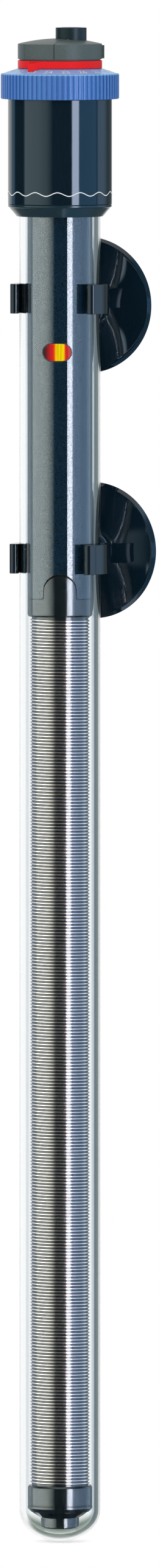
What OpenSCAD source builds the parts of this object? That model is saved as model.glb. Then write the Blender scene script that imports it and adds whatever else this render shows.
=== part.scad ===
// Submersible aquarium heater: a glass tube with a heating element and a dial thermostat,
// held upright on a pane by two clips with suction cups. Sizes are in millimetres.
// The origin is the centre of the upper cup's rim face, +Y points out of that face into
// the pane, and +Z runs up the tube. Pieces are drawn on the tube's own axis, from its tip up.

/* [Glass tube] */
// Outside diameter of the tube
tube_d = 24; // [23:0.1:26]
// Wall of the tube
tube_wall = 1.8; // [1.2:0.1:2]
// Length of the tube from its closed tip to its open rim
tube_h = 404; // [385:1:440]
// Height of the rounded closed end
tube_end_h = 9.4; // [8.5:0.1:11]

/* [Head] */
// Length of tube held inside the head
tube_grip = 9.4; // [9:0.1:12]
// Height of the conical collar under the housing
collar_h = 3.6; // [3:0.1:5]
// Width of the collar's lower edge around the tube
collar_lip = 0.8; // [0.5:0.1:1.2]
// Thickness of the rubber seal around the tube
seal_t = 1.55; // [1.3:0.05:2]
// Wall of the control housing
housing_wall = 1.9; // [1.5:0.1:2.2]
// Height of the control housing
housing_h = 31; // [28:0.1:38]
// Thickness of the housing's top deck
deck_t = 2.2; // [2:0.1:3]

/* [Dial] */
// Outside diameter of the temperature knob
knob_d = 35.1; // [34:0.1:38]
// Height of the knob's ribbed skirt
skirt_h = 7.5; // [6.6:0.1:9]
// Number of grip ribs round the skirt
rib_count = 72; // [60:1:84]
// Depth of the grooves between the ribs
rib_depth = 0.45; // [0.3:0.05:0.6]
// Rise of the conical dial from the skirt to its inner edge
dial_rise = 1.5; // [1.4:0.05:2]
// Diameter of the dial's inner edge, the pointer ring and the cap
cap_d = 25; // [24.6:0.1:26]
// Height of the pointer ring
pointer_ring_h = 2.3; // [2:0.1:3]
// Distance of the pointer's tip from the axis
pointer_reach = 14.9; // [14:0.1:15.5]
// Width of the pointer's blunt tip
pointer_tip_w = 1.3; // [1:0.1:2]
// Drop of the pointer's top from the ring to its tip
pointer_drop = 0.9; // [0.5:0.1:1.2]
// Turn of the pointer from the front of the head, towards the left
pointer_turn = 37; // [0:1:60]

/* [Cap and cable gland] */
// Height of the cap's straight side
cap_h = 4.9; // [4.2:0.1:7]
// Rise of the cap's shallow dome
cap_dome = 1.5; // [1.2:0.1:2]
// Diameter of the cap's hub, which the knob and the pointer ring turn on
hub_d = 18; // [17.6:0.1:19]
// Diameter of the cable bore in the gland
cable_bore_d = 6.5; // [5.5:0.1:6.8]
// Wall of the rubber gland
gland_wall = 1.35; // [1.1:0.05:1.5]
// Height of the gland's stub above the dome
gland_stub_h = 3.2; // [3:0.1:8]
// Offset of the gland from the head's axis
gland_offset = 3.3; // [3.1:0.1:3.6]
// Wall of the hollow stem round the gland
stem_wall = 0.9; // [0.7:0.05:1]

/* [Adjuster gears] */
// Gear module
gear_module = 0.5; // [0.48:0.01:0.51]
// Teeth of the internal gear in the knob
knob_teeth = 48; // [48:1:49]
// Teeth of the spindle's pinion
pinion_teeth = 16; // [15:1:16]
// Face width of both gears
gear_h = 3.6; // [3:0.1:3.8]
// Circumferential play shared by a pair of flanks
gear_play = 0.24; // [0.2:0.01:0.3]
// Diameter of the threaded spindle
spindle_d = 3; // [2.6:0.1:3.2]

/* [Thermostat] */
// Length of the dark sleeve over the thermostat
sleeve_h = 123.9; // [114:0.1:150]
// Gap between the sleeve and the glass
sleeve_gap = 0.55; // [0.4:0.05:0.9]
// Wall of the dark sleeve
sleeve_wall = 0.6; // [0.5:0.05:0.8]
// Width of the indicator window
window_w = 8.7; // [7:0.1:10]
// Height of the indicator window
window_h = 5.6; // [5:0.1:6.5]
// Distance of the window's centre below the tube's rim
window_drop = 49.5; // [46:0.1:54]
// Turn of the window from the front of the head, towards the left
window_turn = 5; // [0:1:12]
// Thickness of the bimetal strip
strip_t = 0.7; // [0.5:0.1:0.8]
// Free length of the bimetal strip above its block
strip_l = 41.5; // [40:0.1:42]
// Gap between the closed contacts
contact_gap = 0.05; // [0.05:0.01:0.1]

/* [Heating element] */
// Gap between the winding and the glass
winding_gap = 1.35; // [1.1:0.05:1.8]
// Diameter of the heating wire
wire_d = 0.6; // [0.6:0.1:1.2]
// Turns of the heating wire
coil_turns = 24; // [20:1:24]
// Bore of the ceramic former
former_bore_d = 7.2; // [6:0.1:8]
// Height of the upper end cap
upper_cap_h = 5.4; // [5:0.1:8]
// Height of the lower end cap's round band
lower_cap_h = 5.8; // [5:0.1:8]
// Height of the lower end cap's notched edge
edge_h = 2.1; // [1.6:0.1:2.4]
// Notches round the lower end cap's edge
edge_notches = 8; // [6:1:9]
// Diameter of the foot under the lower end cap
foot_d = 11.4; // [9:0.1:12]
// Height of the foot
foot_h = 4.8; // [3.8:0.1:5]
// Height of the foot's seat above the tube's tip
foot_z = 4.2; // [3.8:0.1:5.6]
// Width of the tongue that locks the element to the sleeve
tongue_w = 9.1; // [8:0.1:10]
// Height of the tongue above the sleeve's lower edge
tongue_h = 7.2; // [6.5:0.1:9]

/* [Clips] */
// Distance of the upper clip's middle below the collar
upper_clip_drop = 24.4; // [20:0.1:45]
// Distance between the middles of the two clips
clip_spacing = 77.3; // [50:0.1:280]
// Turn of the lower clip against the upper one
lower_clip_turn = 5; // [-20:1:20]
// Height of a clip
clip_h = 8.8; // [7:0.1:11]
// Thickness of a clip's arms
clip_t = 2.3; // [1.8:0.1:2.6]
// Thickness of the rounded lips at the arms' ends
clip_lip_t = 2.9; // [2.6:0.1:3.4]
// Half of the angle that a clip leaves open
clip_half_open = 62; // [50:1:72]
// Depth of the upper cup's socket below its clip's middle
upper_socket_drop = 2.8; // [0:0.1:3]
// Height of the lower cup's socket above its clip's middle
lower_socket_rise = 1.4; // [0:0.1:3]
// Diameter of the socket's boss
socket_d = 12; // [11:0.1:13]
// Thickness of the socket's boss from the glass outward
socket_t = 5.1; // [4.6:0.1:6]

/* [Suction cups] */
// Diameter of a cup's rim
cup_d = 40.7; // [38:0.1:44]
// Height of a cup from the clip's socket to the rim face
cup_h = 7.7; // [7:0.1:9]
// Diameter of a cup's hub
cup_hub_d = 11; // [9:0.1:12]
// Radius of the fillet between a cup's hub and its back
cup_fillet = 3; // [2:0.1:3.5]
// Width of the raised ring round a cup's back
cup_band_w = 1.6; // [1.2:0.1:2.4]
// Width of the flat rim face
cup_rim_w = 1; // [0.8:0.1:1.5]
// Height of a cup's outer edge
cup_rim_t = 0.9; // [0.7:0.1:1.2]
// Depth of a cup's hollow
cup_hollow = 3.6; // [2.5:0.1:3.8]
// Diameter of a cup's stud
stud_d = 5; // [4.4:0.1:5.6]
// Diameter of the stud's head
stud_head_d = 7.4; // [6.8:0.1:8]
// Thickness of the stud's head
stud_head_t = 1.4; // [1.1:0.1:1.6]

/* [Fits] */
// Radial clearance of a shaft that turns or slides in a hole
run_clear = 0.05; // [0.03:0.01:0.1]
// Gap between faces that slide past each other
slide_gap = 0.1; // [0.05:0.01:0.2]
// Gap under the knob's skirt
knob_gap = 0.3; // [0.2:0.05:0.5]

/* [Hidden] */
$fn = 96;

// Length that a cutting solid runs past what it cuts
over = 1;

// Turn of the head's front from the side opposite the cups
head_turn = 18.5;

// Tube
tube_r = tube_d / 2;
tube_bore_r = tube_r - tube_wall;

// Head heights
collar_z = tube_h - tube_grip;
housing_z = collar_z + collar_h;
deck_z = housing_z + housing_h;
deck_under_z = deck_z - deck_t;
knob_z = deck_z + knob_gap;
skirt_top_z = knob_z + skirt_h;
dial_top_z = skirt_top_z + dial_rise;
ring_z = dial_top_z + slide_gap;
cap_z = ring_z + pointer_ring_h + slide_gap;
cap_side_z = cap_z + cap_h;
dome_z = cap_side_z + cap_dome;
gland_top_z = dome_z + gland_stub_h;
gland_seat_z = dome_z - cap_dome / 3;
collar_neck_h = 1.8;
seal_z = housing_z + collar_neck_h + 2 * slide_gap;

// Head radii
housing_bore_r = tube_r + seal_t;
housing_r = housing_bore_r + housing_wall;
neck_r = housing_bore_r - run_clear;
knob_r = knob_d / 2;
cap_r = cap_d / 2;
hub_r = hub_d / 2;
cable_bore_r = cable_bore_d / 2;
gland_r = cable_bore_r + gland_wall;
stem_neck_r = gland_r + stem_wall;
stem_step = 0.4;
stem_r = stem_neck_r + stem_step;
stem_reach = 3;
stem_top_z = cap_z + stem_reach;
dial_step = 0.15;
dial_edge_r = knob_r - rib_depth - dial_step;

// Gears: the pinion runs inside the knob's ring gear, off the head's axis
gear_r = gear_module * knob_teeth / 2;
pinion_r = gear_module * pinion_teeth / 2;
spindle_x = -(gear_r - pinion_r);
tooth_add = 0.9 * gear_module;
tooth_ded = 1.2 * gear_module;
pressure_angle = 20;
gear_tip_r = gear_r - tooth_add;
gear_root_r = gear_r + tooth_ded;
spindle_r = spindle_d / 2;
journal_step = 0.3;
journal_r = spindle_r - journal_step;
pivot_depth = 1.2;
o_ring_r = 0.57;
o_ring_play = 0.03;
o_ring_seat = 2 * (o_ring_r + o_ring_play);

// Knob and retainer heights
web_t = 1.8;
web_z = dial_top_z - web_t;
retainer_t = 1.3;
retainer_z = web_z - run_clear - retainer_t;
gear_space = 0.6;
gear_z = retainer_z - gear_space - gear_h;
knob_relief_z = gear_z - 2 * slide_gap;
retainer_step = 0.75;
retainer_r = gear_tip_r - retainer_step;

// Thermostat heights and radii, with the frame's disc on top of the seal's lip
seal_lip_t = 1;
disc_z = tube_h + seal_lip_t;
disc_t = 2.6;
disc_top_z = disc_z + disc_t;
disc_r = housing_bore_r - run_clear;
sleeve_r = tube_bore_r - sleeve_gap;
sleeve_bore_r = sleeve_r - sleeve_wall;
spigot_r = sleeve_bore_r - run_clear;
spigot_h = 4;
spigot_z = disc_z - spigot_h;
window_z = tube_h - window_drop;

// Chassis plate, with the lamp before it and the bimetal strip behind it
plate_w = 11;
plate_t = 1.6;
plate_y = 0.8;
plate_back_y = plate_y + plate_t;
block_h = 8;
block_w = 6;
block_t = 1.2;
strip_y = plate_back_y + block_t;
strip_w = 5;
strip_back_y = strip_y + strip_t;
strip_base_drop = 15.8;
strip_base_z = window_z - strip_base_drop;
block_top_z = strip_base_z + block_h;
strip_top_z = block_top_z + strip_l;
contact_r = 1.3;
contact_t = 0.6;
contact_drop = 3.5;
contact_z = strip_top_z - contact_drop;
fixed_contact_t = 1.6;
arm_t = 0.8;
arm_w = 4;
arm_y = strip_back_y + contact_t + contact_gap + fixed_contact_t;
magnet_gap = 0.6;
magnet_w = 3.2;
magnet_h = 5;
magnet_drop = 11.5;
magnet_z = contact_z - magnet_drop;

// Setting rod from the carriage down to the strip
rod_r = 0.8;
rod_y = strip_y + strip_t / 2;
carriage_rise = 4.4;
carriage_z = disc_top_z + carriage_rise;
carriage_h = 4;
rod_gap = 1.1;

// Lamp, its two wires and its resistor
lamp_r = 2.3;
lamp_l = 10.4;
lamp_gap = 1.05;
lamp_out = sleeve_bore_r - lamp_gap - lamp_r;
lamp_wire_l = 4;

// Leads inside the tube
lead_x = 3.2;
inner_lead_x = 2.2;
lead_y = -1.2;
lead_r = 0.5;

// Heating element heights
edge_z = foot_z + foot_h;
lower_cap_z = edge_z + edge_h;
winding_z = lower_cap_z + lower_cap_h;
sleeve_z = disc_z - sleeve_h;
winding_top_z = sleeve_z - upper_cap_h;
winding_h = winding_top_z - winding_z;
plug_h = 3.8;
plug_top_z = sleeve_z + plug_h;
terminal_rise = 8;
terminal_z = plug_top_z + terminal_rise;
lead_depth = 1;
lower_cap_step = 0.05;
lower_cap_r = sleeve_r - lower_cap_step;
tongue_fit = 0.15;

// Winding: a round helix whose two ends stand square to the end caps
wire_r = wire_d / 2;
wire_sides = 6;
rings_per_turn = 24;
coil_r = tube_bore_r - winding_gap - wire_r;
coil_lay = 0.05;
former_r = coil_r * cos(180 / rings_per_turn) - wire_r - coil_lay;
former_bore_r = former_bore_d / 2;
bend_ratio = 1.2;
end_bend_r = bend_ratio * wire_d;
end_drop = wire_d + end_bend_r;
coil_pitch = (winding_h - 2 * end_drop) / coil_turns;
bend_steps = 4;

// Clips and cups
clip_bore_r = tube_r + 2 * run_clear;
clip_r = clip_bore_r + clip_t;
lip_mid_r = clip_bore_r + slide_gap + clip_lip_t / 2;
socket_r = socket_d / 2;
socket_y = clip_bore_r + socket_t;
stud_r = stud_d / 2;
stud_head_r = stud_head_d / 2;
socket_floor_t = 2.6;
shoulder_y = socket_y - socket_floor_t;
cup_r = cup_d / 2;
cup_hub_r = cup_hub_d / 2;
cup_back_y = socket_y + slide_gap;
cup_reach = cup_back_y + cup_h;
upper_clip_z = collar_z - upper_clip_drop;
lower_clip_z = upper_clip_z - clip_spacing;
upper_cup_z = upper_clip_z - upper_socket_drop;

// Places a piece that is drawn on the tube's axis
module on_tube() {
    translate([0, -cup_reach, -upper_cup_z]) children();
}

// Places a piece of the head or of the insides, drawn with its front at -Y
module in_head() {
    on_tube() rotate([0, 0, head_turn]) children();
}

module ring(r_out, r_in, z0, z1) {
    translate([0, 0, z0]) difference() {
        cylinder(r = r_out, h = z1 - z0);
        translate([0, 0, -over]) cylinder(r = r_in, h = z1 - z0 + 2 * over);
    }
}

module rod(r, z0, z1) {
    translate([0, 0, z0]) cylinder(r = r, h = z1 - z0);
}

// A box centred on x = 0, from y0 to y1 and from z0 to z1
module slab(w, y0, y1, z0, z1) {
    translate([-w / 2, y0, z0]) cube([w, y1 - y0, z1 - z0]);
}

// Points of an arc, from angle a0 to a1
function arc(x, y, r, a0, a1, n) =
    [for (i = [0 : n]) let (a = a0 + (a1 - a0) * i / n) [x + r * cos(a), y + r * sin(a)]];

// Points of the rounded end, from the middle out, for a radius and a rise that starts at z
function end_curve(r, z, rise, n = 14) =
    [for (i = [0 : n]) let (a = 90 * i / n) [r * sin(a), z + rise * (1 - cos(a))]];

function reversed(p) = [for (i = [len(p) - 1 : -1 : 0]) p[i]];

module glass_tube() {
    color("lightcyan", 0.4) on_tube() rotate_extrude() polygon(concat(
        end_curve(tube_r, 0, tube_end_h),
        [[tube_r, tube_h], [tube_bore_r, tube_h]],
        reversed(end_curve(tube_bore_r, tube_wall, tube_end_h - tube_wall))));
}

// Rubber sleeve round the tube's open end, with a lip over the rim
module tube_seal() {
    lip_gap = 0.3;
    color("dimgray") on_tube() difference() {
        rod(neck_r, seal_z, disc_z);
        rod(tube_r, seal_z - over, tube_h);
        rod(sleeve_r + lip_gap, tube_h - over, disc_z + over);
    }
}

// Threaded ring with a conical skirt, which presses the seal onto the tube
module collar_ring() {
    rim_r = housing_r - 0.05;
    rim_h = 0.3;
    bevel = 0.25;
    color("darkslategray") on_tube() difference() {
        union() {
            rotate_extrude() polygon([
                [0, collar_z], [tube_r + collar_lip, collar_z], [rim_r - bevel, housing_z - rim_h - bevel],
                [rim_r, housing_z - rim_h], [rim_r, housing_z], [0, housing_z]]);
            rod(neck_r, housing_z - rim_h, housing_z + collar_neck_h);
        }
        rod(tube_r + run_clear, collar_z - over, housing_z + collar_neck_h + over);
    }
}

// Black housing: a shell, a top deck and the hollow stem that carries the cap
module control_housing() {
    edge = 0.6;
    cable_way = 0.35;
    color("midnightblue") in_head() difference() {
        union() {
            rotate_extrude() polygon(concat(
                [[0, housing_z], [housing_r, housing_z]],
                arc(housing_r - edge, deck_z - edge, edge, 0, 90, 4),
                [[0, deck_z]]));
            translate([gland_offset, 0, 0]) {
                rod(stem_r, deck_z, retainer_z);
                rod(stem_neck_r, deck_z, stem_top_z);
            }
        }
        rod(housing_bore_r, housing_z - over, deck_under_z);
        translate([gland_offset, 0, 0]) {
            rod(cable_bore_r + cable_way, deck_under_z - over, stem_top_z + over);
            rod(gland_r, retainer_z, stem_top_z + over);
        }
        translate([spindle_x, 0, 0]) {
            rod(spindle_r + run_clear, deck_under_z - over, deck_z + over);
            rod(spindle_r + o_ring_seat, deck_z - o_ring_seat, deck_z + over);
        }
    }
}

// O-ring round the spindle, in the deck's counterbore
module spindle_seal() {
    color("black") in_head() translate([spindle_x, 0, deck_z - o_ring_seat / 2])
        rotate_extrude() translate([spindle_r + o_ring_seat / 2, 0]) circle(r = o_ring_r, $fn = 32);
}

// Plate on the stem that holds the knob down on its spindle gear and ends the spindle's bearing
module knob_retainer() {
    color("silver") in_head() difference() {
        rod(retainer_r, retainer_z, retainer_z + retainer_t);
        translate([gland_offset, 0, 0])
            rod(stem_neck_r, retainer_z - over, retainer_z + retainer_t + over);
        translate([spindle_x, 0, 0])
            rod(journal_r + run_clear, retainer_z - over, retainer_z + retainer_t + over);
    }
}

// Half of a tooth's width at a radius, from the width at the pitch circle
function half_tooth(past) =
    PI * gear_module / 4 - gear_play / 4 - past * tan(pressure_angle);

// Outline of a gear whose teeth grow from root_r to tip_r
function gear_outline(n, pitch_r, tip_r, root_r, phase) =
    let (out = sign(tip_r - root_r),
         w_tip = half_tooth(abs(tip_r - pitch_r)),
         w_root = half_tooth(-abs(root_r - pitch_r)))
    [for (i = [0 : n - 1]) let (a = phase + 360 * i / n)
        for (p = [[root_r, -w_root], [tip_r, -w_tip], [tip_r, w_tip], [root_r, w_root]])
            [p[0] * cos(a) - p[1] * sin(a), p[0] * sin(a) + p[1] * cos(a)]];

// Outline of the ribbed skirt: a flat land and a sloped groove for each rib
function rib_outline() =
    let (step = 360 / rib_count, land = 0.27, flank = 0.12, root_r = knob_r - rib_depth)
    [for (i = [0 : rib_count - 1])
        for (q = [[-land, knob_r], [land, knob_r], [land + flank, root_r], [1 - land - flank, root_r]])
            [q[1] * cos((i + q[0]) * step), q[1] * sin((i + q[0]) * step)]];

// Knob: a ribbed skirt and a conical dial, with the ring gear inside
module temperature_knob() {
    lap = 0.5;
    relief_step = 2;
    retainer_gap = 0.4;
    teeth_top_z = gear_z + gear_h + 2 * slide_gap;
    color("royalblue") in_head() difference() {
        union() {
            translate([0, 0, knob_z]) linear_extrude(height = skirt_h) polygon(rib_outline());
            rotate_extrude() polygon([
                [0, skirt_top_z - lap], [dial_edge_r, skirt_top_z - lap], [dial_edge_r, skirt_top_z],
                [cap_r, dial_top_z], [0, dial_top_z]]);
        }
        rod(gear_root_r + relief_step, knob_z - over, knob_relief_z);
        translate([0, 0, knob_relief_z - over]) linear_extrude(height = teeth_top_z - knob_relief_z + over)
            polygon(gear_outline(knob_teeth, gear_r, gear_tip_r, gear_root_r, 180 + 180 / knob_teeth));
        rod(retainer_r + retainer_gap, gear_z, web_z);
        rod(hub_r + run_clear, web_z - over, dial_top_z + over);
    }
}

// Height of the dial's cone at a radius
function dial_cone_z(r) = dial_top_z - (r - cap_r) * dial_rise / (dial_edge_r - cap_r);

// Red ring under the cap, with a wedge that points at the dial's numbers
module calibration_ring() {
    spread = 11.4;
    root_r = hub_r + 1;
    end_r = pointer_reach + 0.5;
    top_z = ring_z + pointer_ring_h;
    color("crimson") in_head() difference() {
        union() {
            rod(cap_r, ring_z, top_z);
            rotate([0, 0, -pointer_turn]) intersection() {
                translate([0, 0, skirt_top_z]) linear_extrude(height = top_z - skirt_top_z)
                    polygon([
                        [-cap_r * sin(spread), -cap_r * cos(spread)], [-pointer_tip_w / 2, -pointer_reach],
                        [pointer_tip_w / 2, -pointer_reach], [cap_r * sin(spread), -cap_r * cos(spread)]]);
                rotate_extrude() polygon([
                    [root_r, dial_cone_z(root_r) + slide_gap],
                    [end_r, dial_cone_z(end_r) + slide_gap],
                    [end_r, top_z - pointer_drop * (end_r - cap_r) / (pointer_reach - cap_r)],
                    [cap_r, top_z], [root_r, top_z]]);
            }
        }
        rod(hub_r + run_clear, skirt_top_z, top_z + over);
    }
}

// Grey cap: a domed disc, its hub, the side tab and the split line over the front
module top_cap() {
    rim = 0.5;
    rim_blend = 0.05;
    slot_w = 0.7;
    slot_x = -1.7;
    slot_depth = 0.8;
    groove_l = 8.2;
    groove_turn = -24;
    groove_tilt = 8;
    groove_drop = 0.1;
    color("slategray") in_head() difference() {
        union() {
            rotate_extrude() polygon(concat(
                [[0, cap_z], [cap_r, cap_z]],
                arc(cap_r - rim, cap_side_z - rim, rim, 0, 70, 4),
                [for (i = [1 : 10]) let (r = (cap_r - rim) * (1 - i / 10))
                    [r, dome_z - (cap_dome - rim_blend) * pow(r / (cap_r - rim), 2)]]));
            rod(hub_r, retainer_z + retainer_t, cap_z);
            side_tab();
        }
        translate([gland_offset, 0, 0]) {
            rod(stem_neck_r + run_clear, retainer_z, stem_top_z + slide_gap);
            rod(gland_r, retainer_z, dome_z + over);
        }
        translate([slot_x - slot_w / 2, -cap_r - over, cap_z - over])
            cube([slot_w, slot_depth + over, cap_h + cap_dome + 2 * over]);
        translate([slot_x, -cap_r + slot_depth / 2, cap_side_z - groove_drop])
            rotate([groove_tilt, 0, groove_turn])
                translate([-slot_w / 2, 0, 0]) cube([slot_w, groove_l, cap_dome + over]);
    }
}

// Small key on the right of the cap
module side_tab() {
    tab_w = 3;
    tab_out = 0.7;
    margin = 0.5;
    translate([cap_r - over, -tab_w / 2, cap_z + margin])
        cube([over + tab_out, tab_w, cap_h - 2 * margin]);
}

// Rubber gland in the stem; the cable goes through its bore
module cable_gland() {
    edge = 0.4;
    taper = 0.05;
    color([0.16, 0.2, 0.22]) in_head() translate([gland_offset, 0, 0]) difference() {
        union() {
            rod(gland_r, retainer_z, gland_seat_z);
            rotate_extrude() polygon(concat(
                [[0, gland_seat_z], [gland_r, gland_seat_z]],
                arc(gland_r - edge - taper, gland_top_z - edge, edge, 0, 90, 4), [[0, gland_top_z]]));
        }
        rod(cable_bore_r, retainer_z - over, gland_top_z + over);
    }
}

// Threaded spindle with the pinion, a collar under the deck and a journal at each end
module adjusting_spindle() {
    pivot_rise = 0.5;
    thrust_w = 0.9;
    thrust_t = 1.3;
    thrust_z = deck_under_z - slide_gap - thrust_t;
    color("goldenrod") in_head() translate([spindle_x, 0, 0]) {
        rod(journal_r, disc_top_z - pivot_depth, disc_top_z + pivot_rise);
        rod(spindle_r, disc_top_z + pivot_rise, gear_z);
        rod(spindle_r + thrust_w, thrust_z, thrust_z + thrust_t);
        translate([0, 0, gear_z]) linear_extrude(height = gear_h)
            polygon(gear_outline(pinion_teeth, pinion_r, pinion_r + tooth_add, pinion_r - tooth_ded, 180));
        rod(journal_r, gear_z + gear_h, retainer_z + retainer_t - run_clear);
    }
}

// Nut on the spindle, with an arm and the rod that sets the strip
module set_carriage() {
    nut_wall = 1.9;
    link_r = 1.6;
    color("whitesmoke") in_head() {
        difference() {
            union() {
                translate([spindle_x, 0, carriage_z]) cylinder(r = spindle_r + nut_wall, h = carriage_h);
                translate([spindle_x, rod_y - link_r, carriage_z]) cube([-spindle_x, 2 * link_r, carriage_h]);
                translate([0, rod_y, carriage_z]) cylinder(r = link_r, h = carriage_h);
            }
            translate([spindle_x, 0, 0])
                rod(spindle_r + run_clear, carriage_z - over, carriage_z + carriage_h + over);
        }
        translate([0, rod_y, 0]) rod(rod_r, strip_top_z + rod_gap, carriage_z);
    }
}

// Moulded frame: the disc on the tube's rim, the spigot, the chassis plate and the lamp's bracket
module thermostat_frame() {
    bracket_w = 4;
    bracket_h = 5;
    lap = 0.3;
    color("tan") in_head() difference() {
        union() {
            rod(disc_r, disc_z, disc_top_z);
            rod(spigot_r, spigot_z, disc_z);
            slab(plate_w, plate_y, plate_back_y, plug_top_z, spigot_z);
            slab(block_w, plate_back_y, strip_y, strip_base_z, block_top_z);
            rotate([0, 0, -window_turn])
                translate([0, 0, window_z])
                    slab(bracket_w, lamp_r - lamp_out, plate_y + lap, -bracket_h / 2, bracket_h / 2);
        }
        translate([0, rod_y, 0]) rod(rod_r + run_clear, spigot_z - over, disc_top_z + over);
        translate([spindle_x, 0, 0])
            rod(journal_r + run_clear, disc_top_z - pivot_depth - slide_gap, disc_top_z + over);
    }
}

module stadium(w, h, grow) {
    for (x = [-1, 1]) translate([x * (w - h) / 2, 0]) circle(r = h / 2 + grow);
    square([w - h, h + 2 * grow], center = true);
}

// A prism of the window's outline that crosses the sleeve's front wall
module window_prism(grow) {
    rotate([0, 0, -window_turn]) translate([0, 0, window_z]) rotate([90, 0, 0])
        linear_extrude(height = sleeve_r + over) stadium(window_w, window_h, grow);
}

// A prism of the tongue's arch that crosses the sleeve's front wall
module tongue_prism(grow) {
    half = tongue_w / 2 + grow;
    translate([0, 0, sleeve_z]) rotate([90, 0, 0]) linear_extrude(height = sleeve_r + over) {
        translate([0, tongue_h + grow - half]) circle(r = half);
        translate([-half, -over]) square([2 * half, tongue_h + grow - half + over]);
    }
}

// Dark sleeve over the thermostat, with the window's opening and the tongue's arch
module thermostat_sleeve() {
    color([0.12, 0.18, 0.24]) in_head() difference() {
        rod(sleeve_r, sleeve_z, disc_z);
        rod(sleeve_bore_r, sleeve_z - over, disc_z + over);
        window_prism(0);
        tongue_prism(tongue_fit);
    }
}

// Red lens, flush in the sleeve
module window_lens() {
    color("red", 0.6) in_head() intersection() {
        ring(sleeve_r, sleeve_bore_r, window_z - window_h, window_z + window_h);
        window_prism(-run_clear);
    }
}

// Neon indicator lamp: a glass capsule with its two wires
module neon_lamp() {
    wire_x = 0.9;
    lamp_wire_r = 0.3;
    straight = lamp_l / 2 - lamp_r;
    color("orange") in_head() rotate([0, 0, -window_turn]) translate([0, -lamp_out, window_z]) {
        rod(lamp_r, -straight, straight);
        for (s = [-1, 1]) translate([0, 0, s * straight]) sphere(r = lamp_r);
        for (s = [-1, 1]) translate([s * wire_x, 0, 0])
            rod(lamp_wire_r, -lamp_l / 2 - lamp_wire_l, -straight);
    }
}

// Series resistor of the lamp, which its two wires end in
module lamp_resistor() {
    resistor_r = 1.2;
    resistor_l = 6.4;
    post_w = 1.2;
    post_h = 1.4;
    post_z = -resistor_r - 0.8;
    color("burlywood") in_head() rotate([0, 0, -window_turn])
        translate([0, -lamp_out, window_z - lamp_l / 2 - lamp_wire_l]) {
            translate([-resistor_l / 2, 0, -resistor_r]) rotate([0, 90, 0])
                cylinder(r = resistor_r, h = resistor_l);
            slab(post_w, 0, lamp_out + plate_y - slide_gap, post_z, post_z + post_h);
        }
}

// Suppression capacitor on the front of the plate
module capacitor() {
    body_w = 7;
    body_t = 4.4;
    body_h = 11;
    top_z = strip_base_z - 7;
    color("steelblue") in_head() slab(body_w, plate_y - body_t, plate_y, top_z - body_h, top_z);
}

// Spring arm with the fixed contact
module contact_arm() {
    color("silver") in_head() {
        slab(arm_w, arm_y, arm_y + arm_t, magnet_z, spigot_z);
        translate([0, arm_y, contact_z]) rotate([90, 0, 0]) cylinder(r = contact_r, h = fixed_contact_t);
    }
}

// Magnet on the arm that makes the contacts snap shut
module snap_magnet() {
    color("gray") in_head() slab(magnet_w, strip_back_y + magnet_gap, arm_y, magnet_z, magnet_z + magnet_h);
}

// Bimetal strip with the moving contact
module bimetal_strip() {
    color("peru") in_head() {
        slab(strip_w, strip_y, strip_back_y, strip_base_z, strip_top_z);
        translate([0, strip_back_y + contact_t, contact_z]) rotate([90, 0, 0])
            cylinder(r = contact_r, h = contact_t);
    }
}

// Two brass tabs near the foot of the plate
module lead_terminals() {
    tab_w = 2;
    tab_h = 7;
    color("gold") in_head() for (s = [-1, 1])
        translate([s * lead_x - tab_w / 2, lead_y - tab_w / 2, terminal_z])
            cube([tab_w, plate_y - lead_y + tab_w / 2, tab_h]);
}

// Two supply wires from the deck down into the frame's disc
module supply_leads() {
    core_r = 0.8;
    core_x = gland_offset + 1;
    color("saddlebrown") in_head() for (s = [-1, 1])
        translate([core_x, 2 * s * core_r, 0]) rod(core_r, disc_top_z, deck_under_z);
}

// Two bare wires from the terminals: one to the winding's top, one down the former's bore
module element_leads() {
    color("silver") in_head() {
        translate([-lead_x, lead_y, 0]) rod(lead_r, winding_top_z + lead_depth, terminal_z);
        translate([inner_lead_x, lead_y, 0]) rod(lead_r, lower_cap_z + lead_depth, terminal_z);
    }
}

// Upper end cap of the winding, with a plug and the tongue that lock it to the sleeve
module former_upper_cap() {
    round_r = 0.8;
    tongue_root = 0.8;
    tongue_lap = 0.5;
    color("darkslategray") in_head() difference() {
        union() {
            rotate_extrude() polygon(concat(
                [[0, winding_top_z]],
                arc(sleeve_r - round_r, winding_top_z + round_r, round_r, -90, 0, 4),
                [[sleeve_r, sleeve_z], [0, sleeve_z]]));
            rod(spigot_r, sleeve_z, plug_top_z);
            intersection() {
                ring(sleeve_r, sleeve_bore_r - tongue_root,
                    sleeve_z - tongue_lap, sleeve_z + tongue_h + over);
                tongue_prism(0);
            }
        }
        translate([-lead_x, lead_y, 0]) rod(lead_r, winding_top_z + lead_depth, plug_top_z + over);
        translate([inner_lead_x, lead_y, 0]) rod(lead_r, winding_top_z - over, plug_top_z + over);
    }
}

// Ceramic former inside the winding
module coil_former() {
    color("gray") in_head() ring(former_r, former_bore_r, winding_z, winding_top_z);
}

// Path of the wire: square out of the upper cap, round the former, square into the lower cap
function end_bend(z, dir) =
    [for (i = [0 : bend_steps]) let (t = 90 * i / bend_steps, y = end_bend_r * (1 - cos(t)))
        [sqrt(coil_r * coil_r - y * y), dir * y, z + dir * end_bend_r * (1 - sin(t))]];

function coil_path() =
    let (top = winding_top_z - end_drop, lead = asin(end_bend_r / coil_r), n = coil_turns * rings_per_turn)
    concat(
        [[coil_r, 0, winding_top_z]],
        end_bend(top, 1),
        [for (i = [2 : n - 2]) let (a = 360 * i / rings_per_turn)
            [coil_r * cos(a), coil_r * sin(a), top - coil_pitch * i / rings_per_turn]],
        reversed(end_bend(winding_z + end_drop, -1)),
        [[coil_r, 0, winding_z]]);

function unit(v) = v / norm(v);

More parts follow.
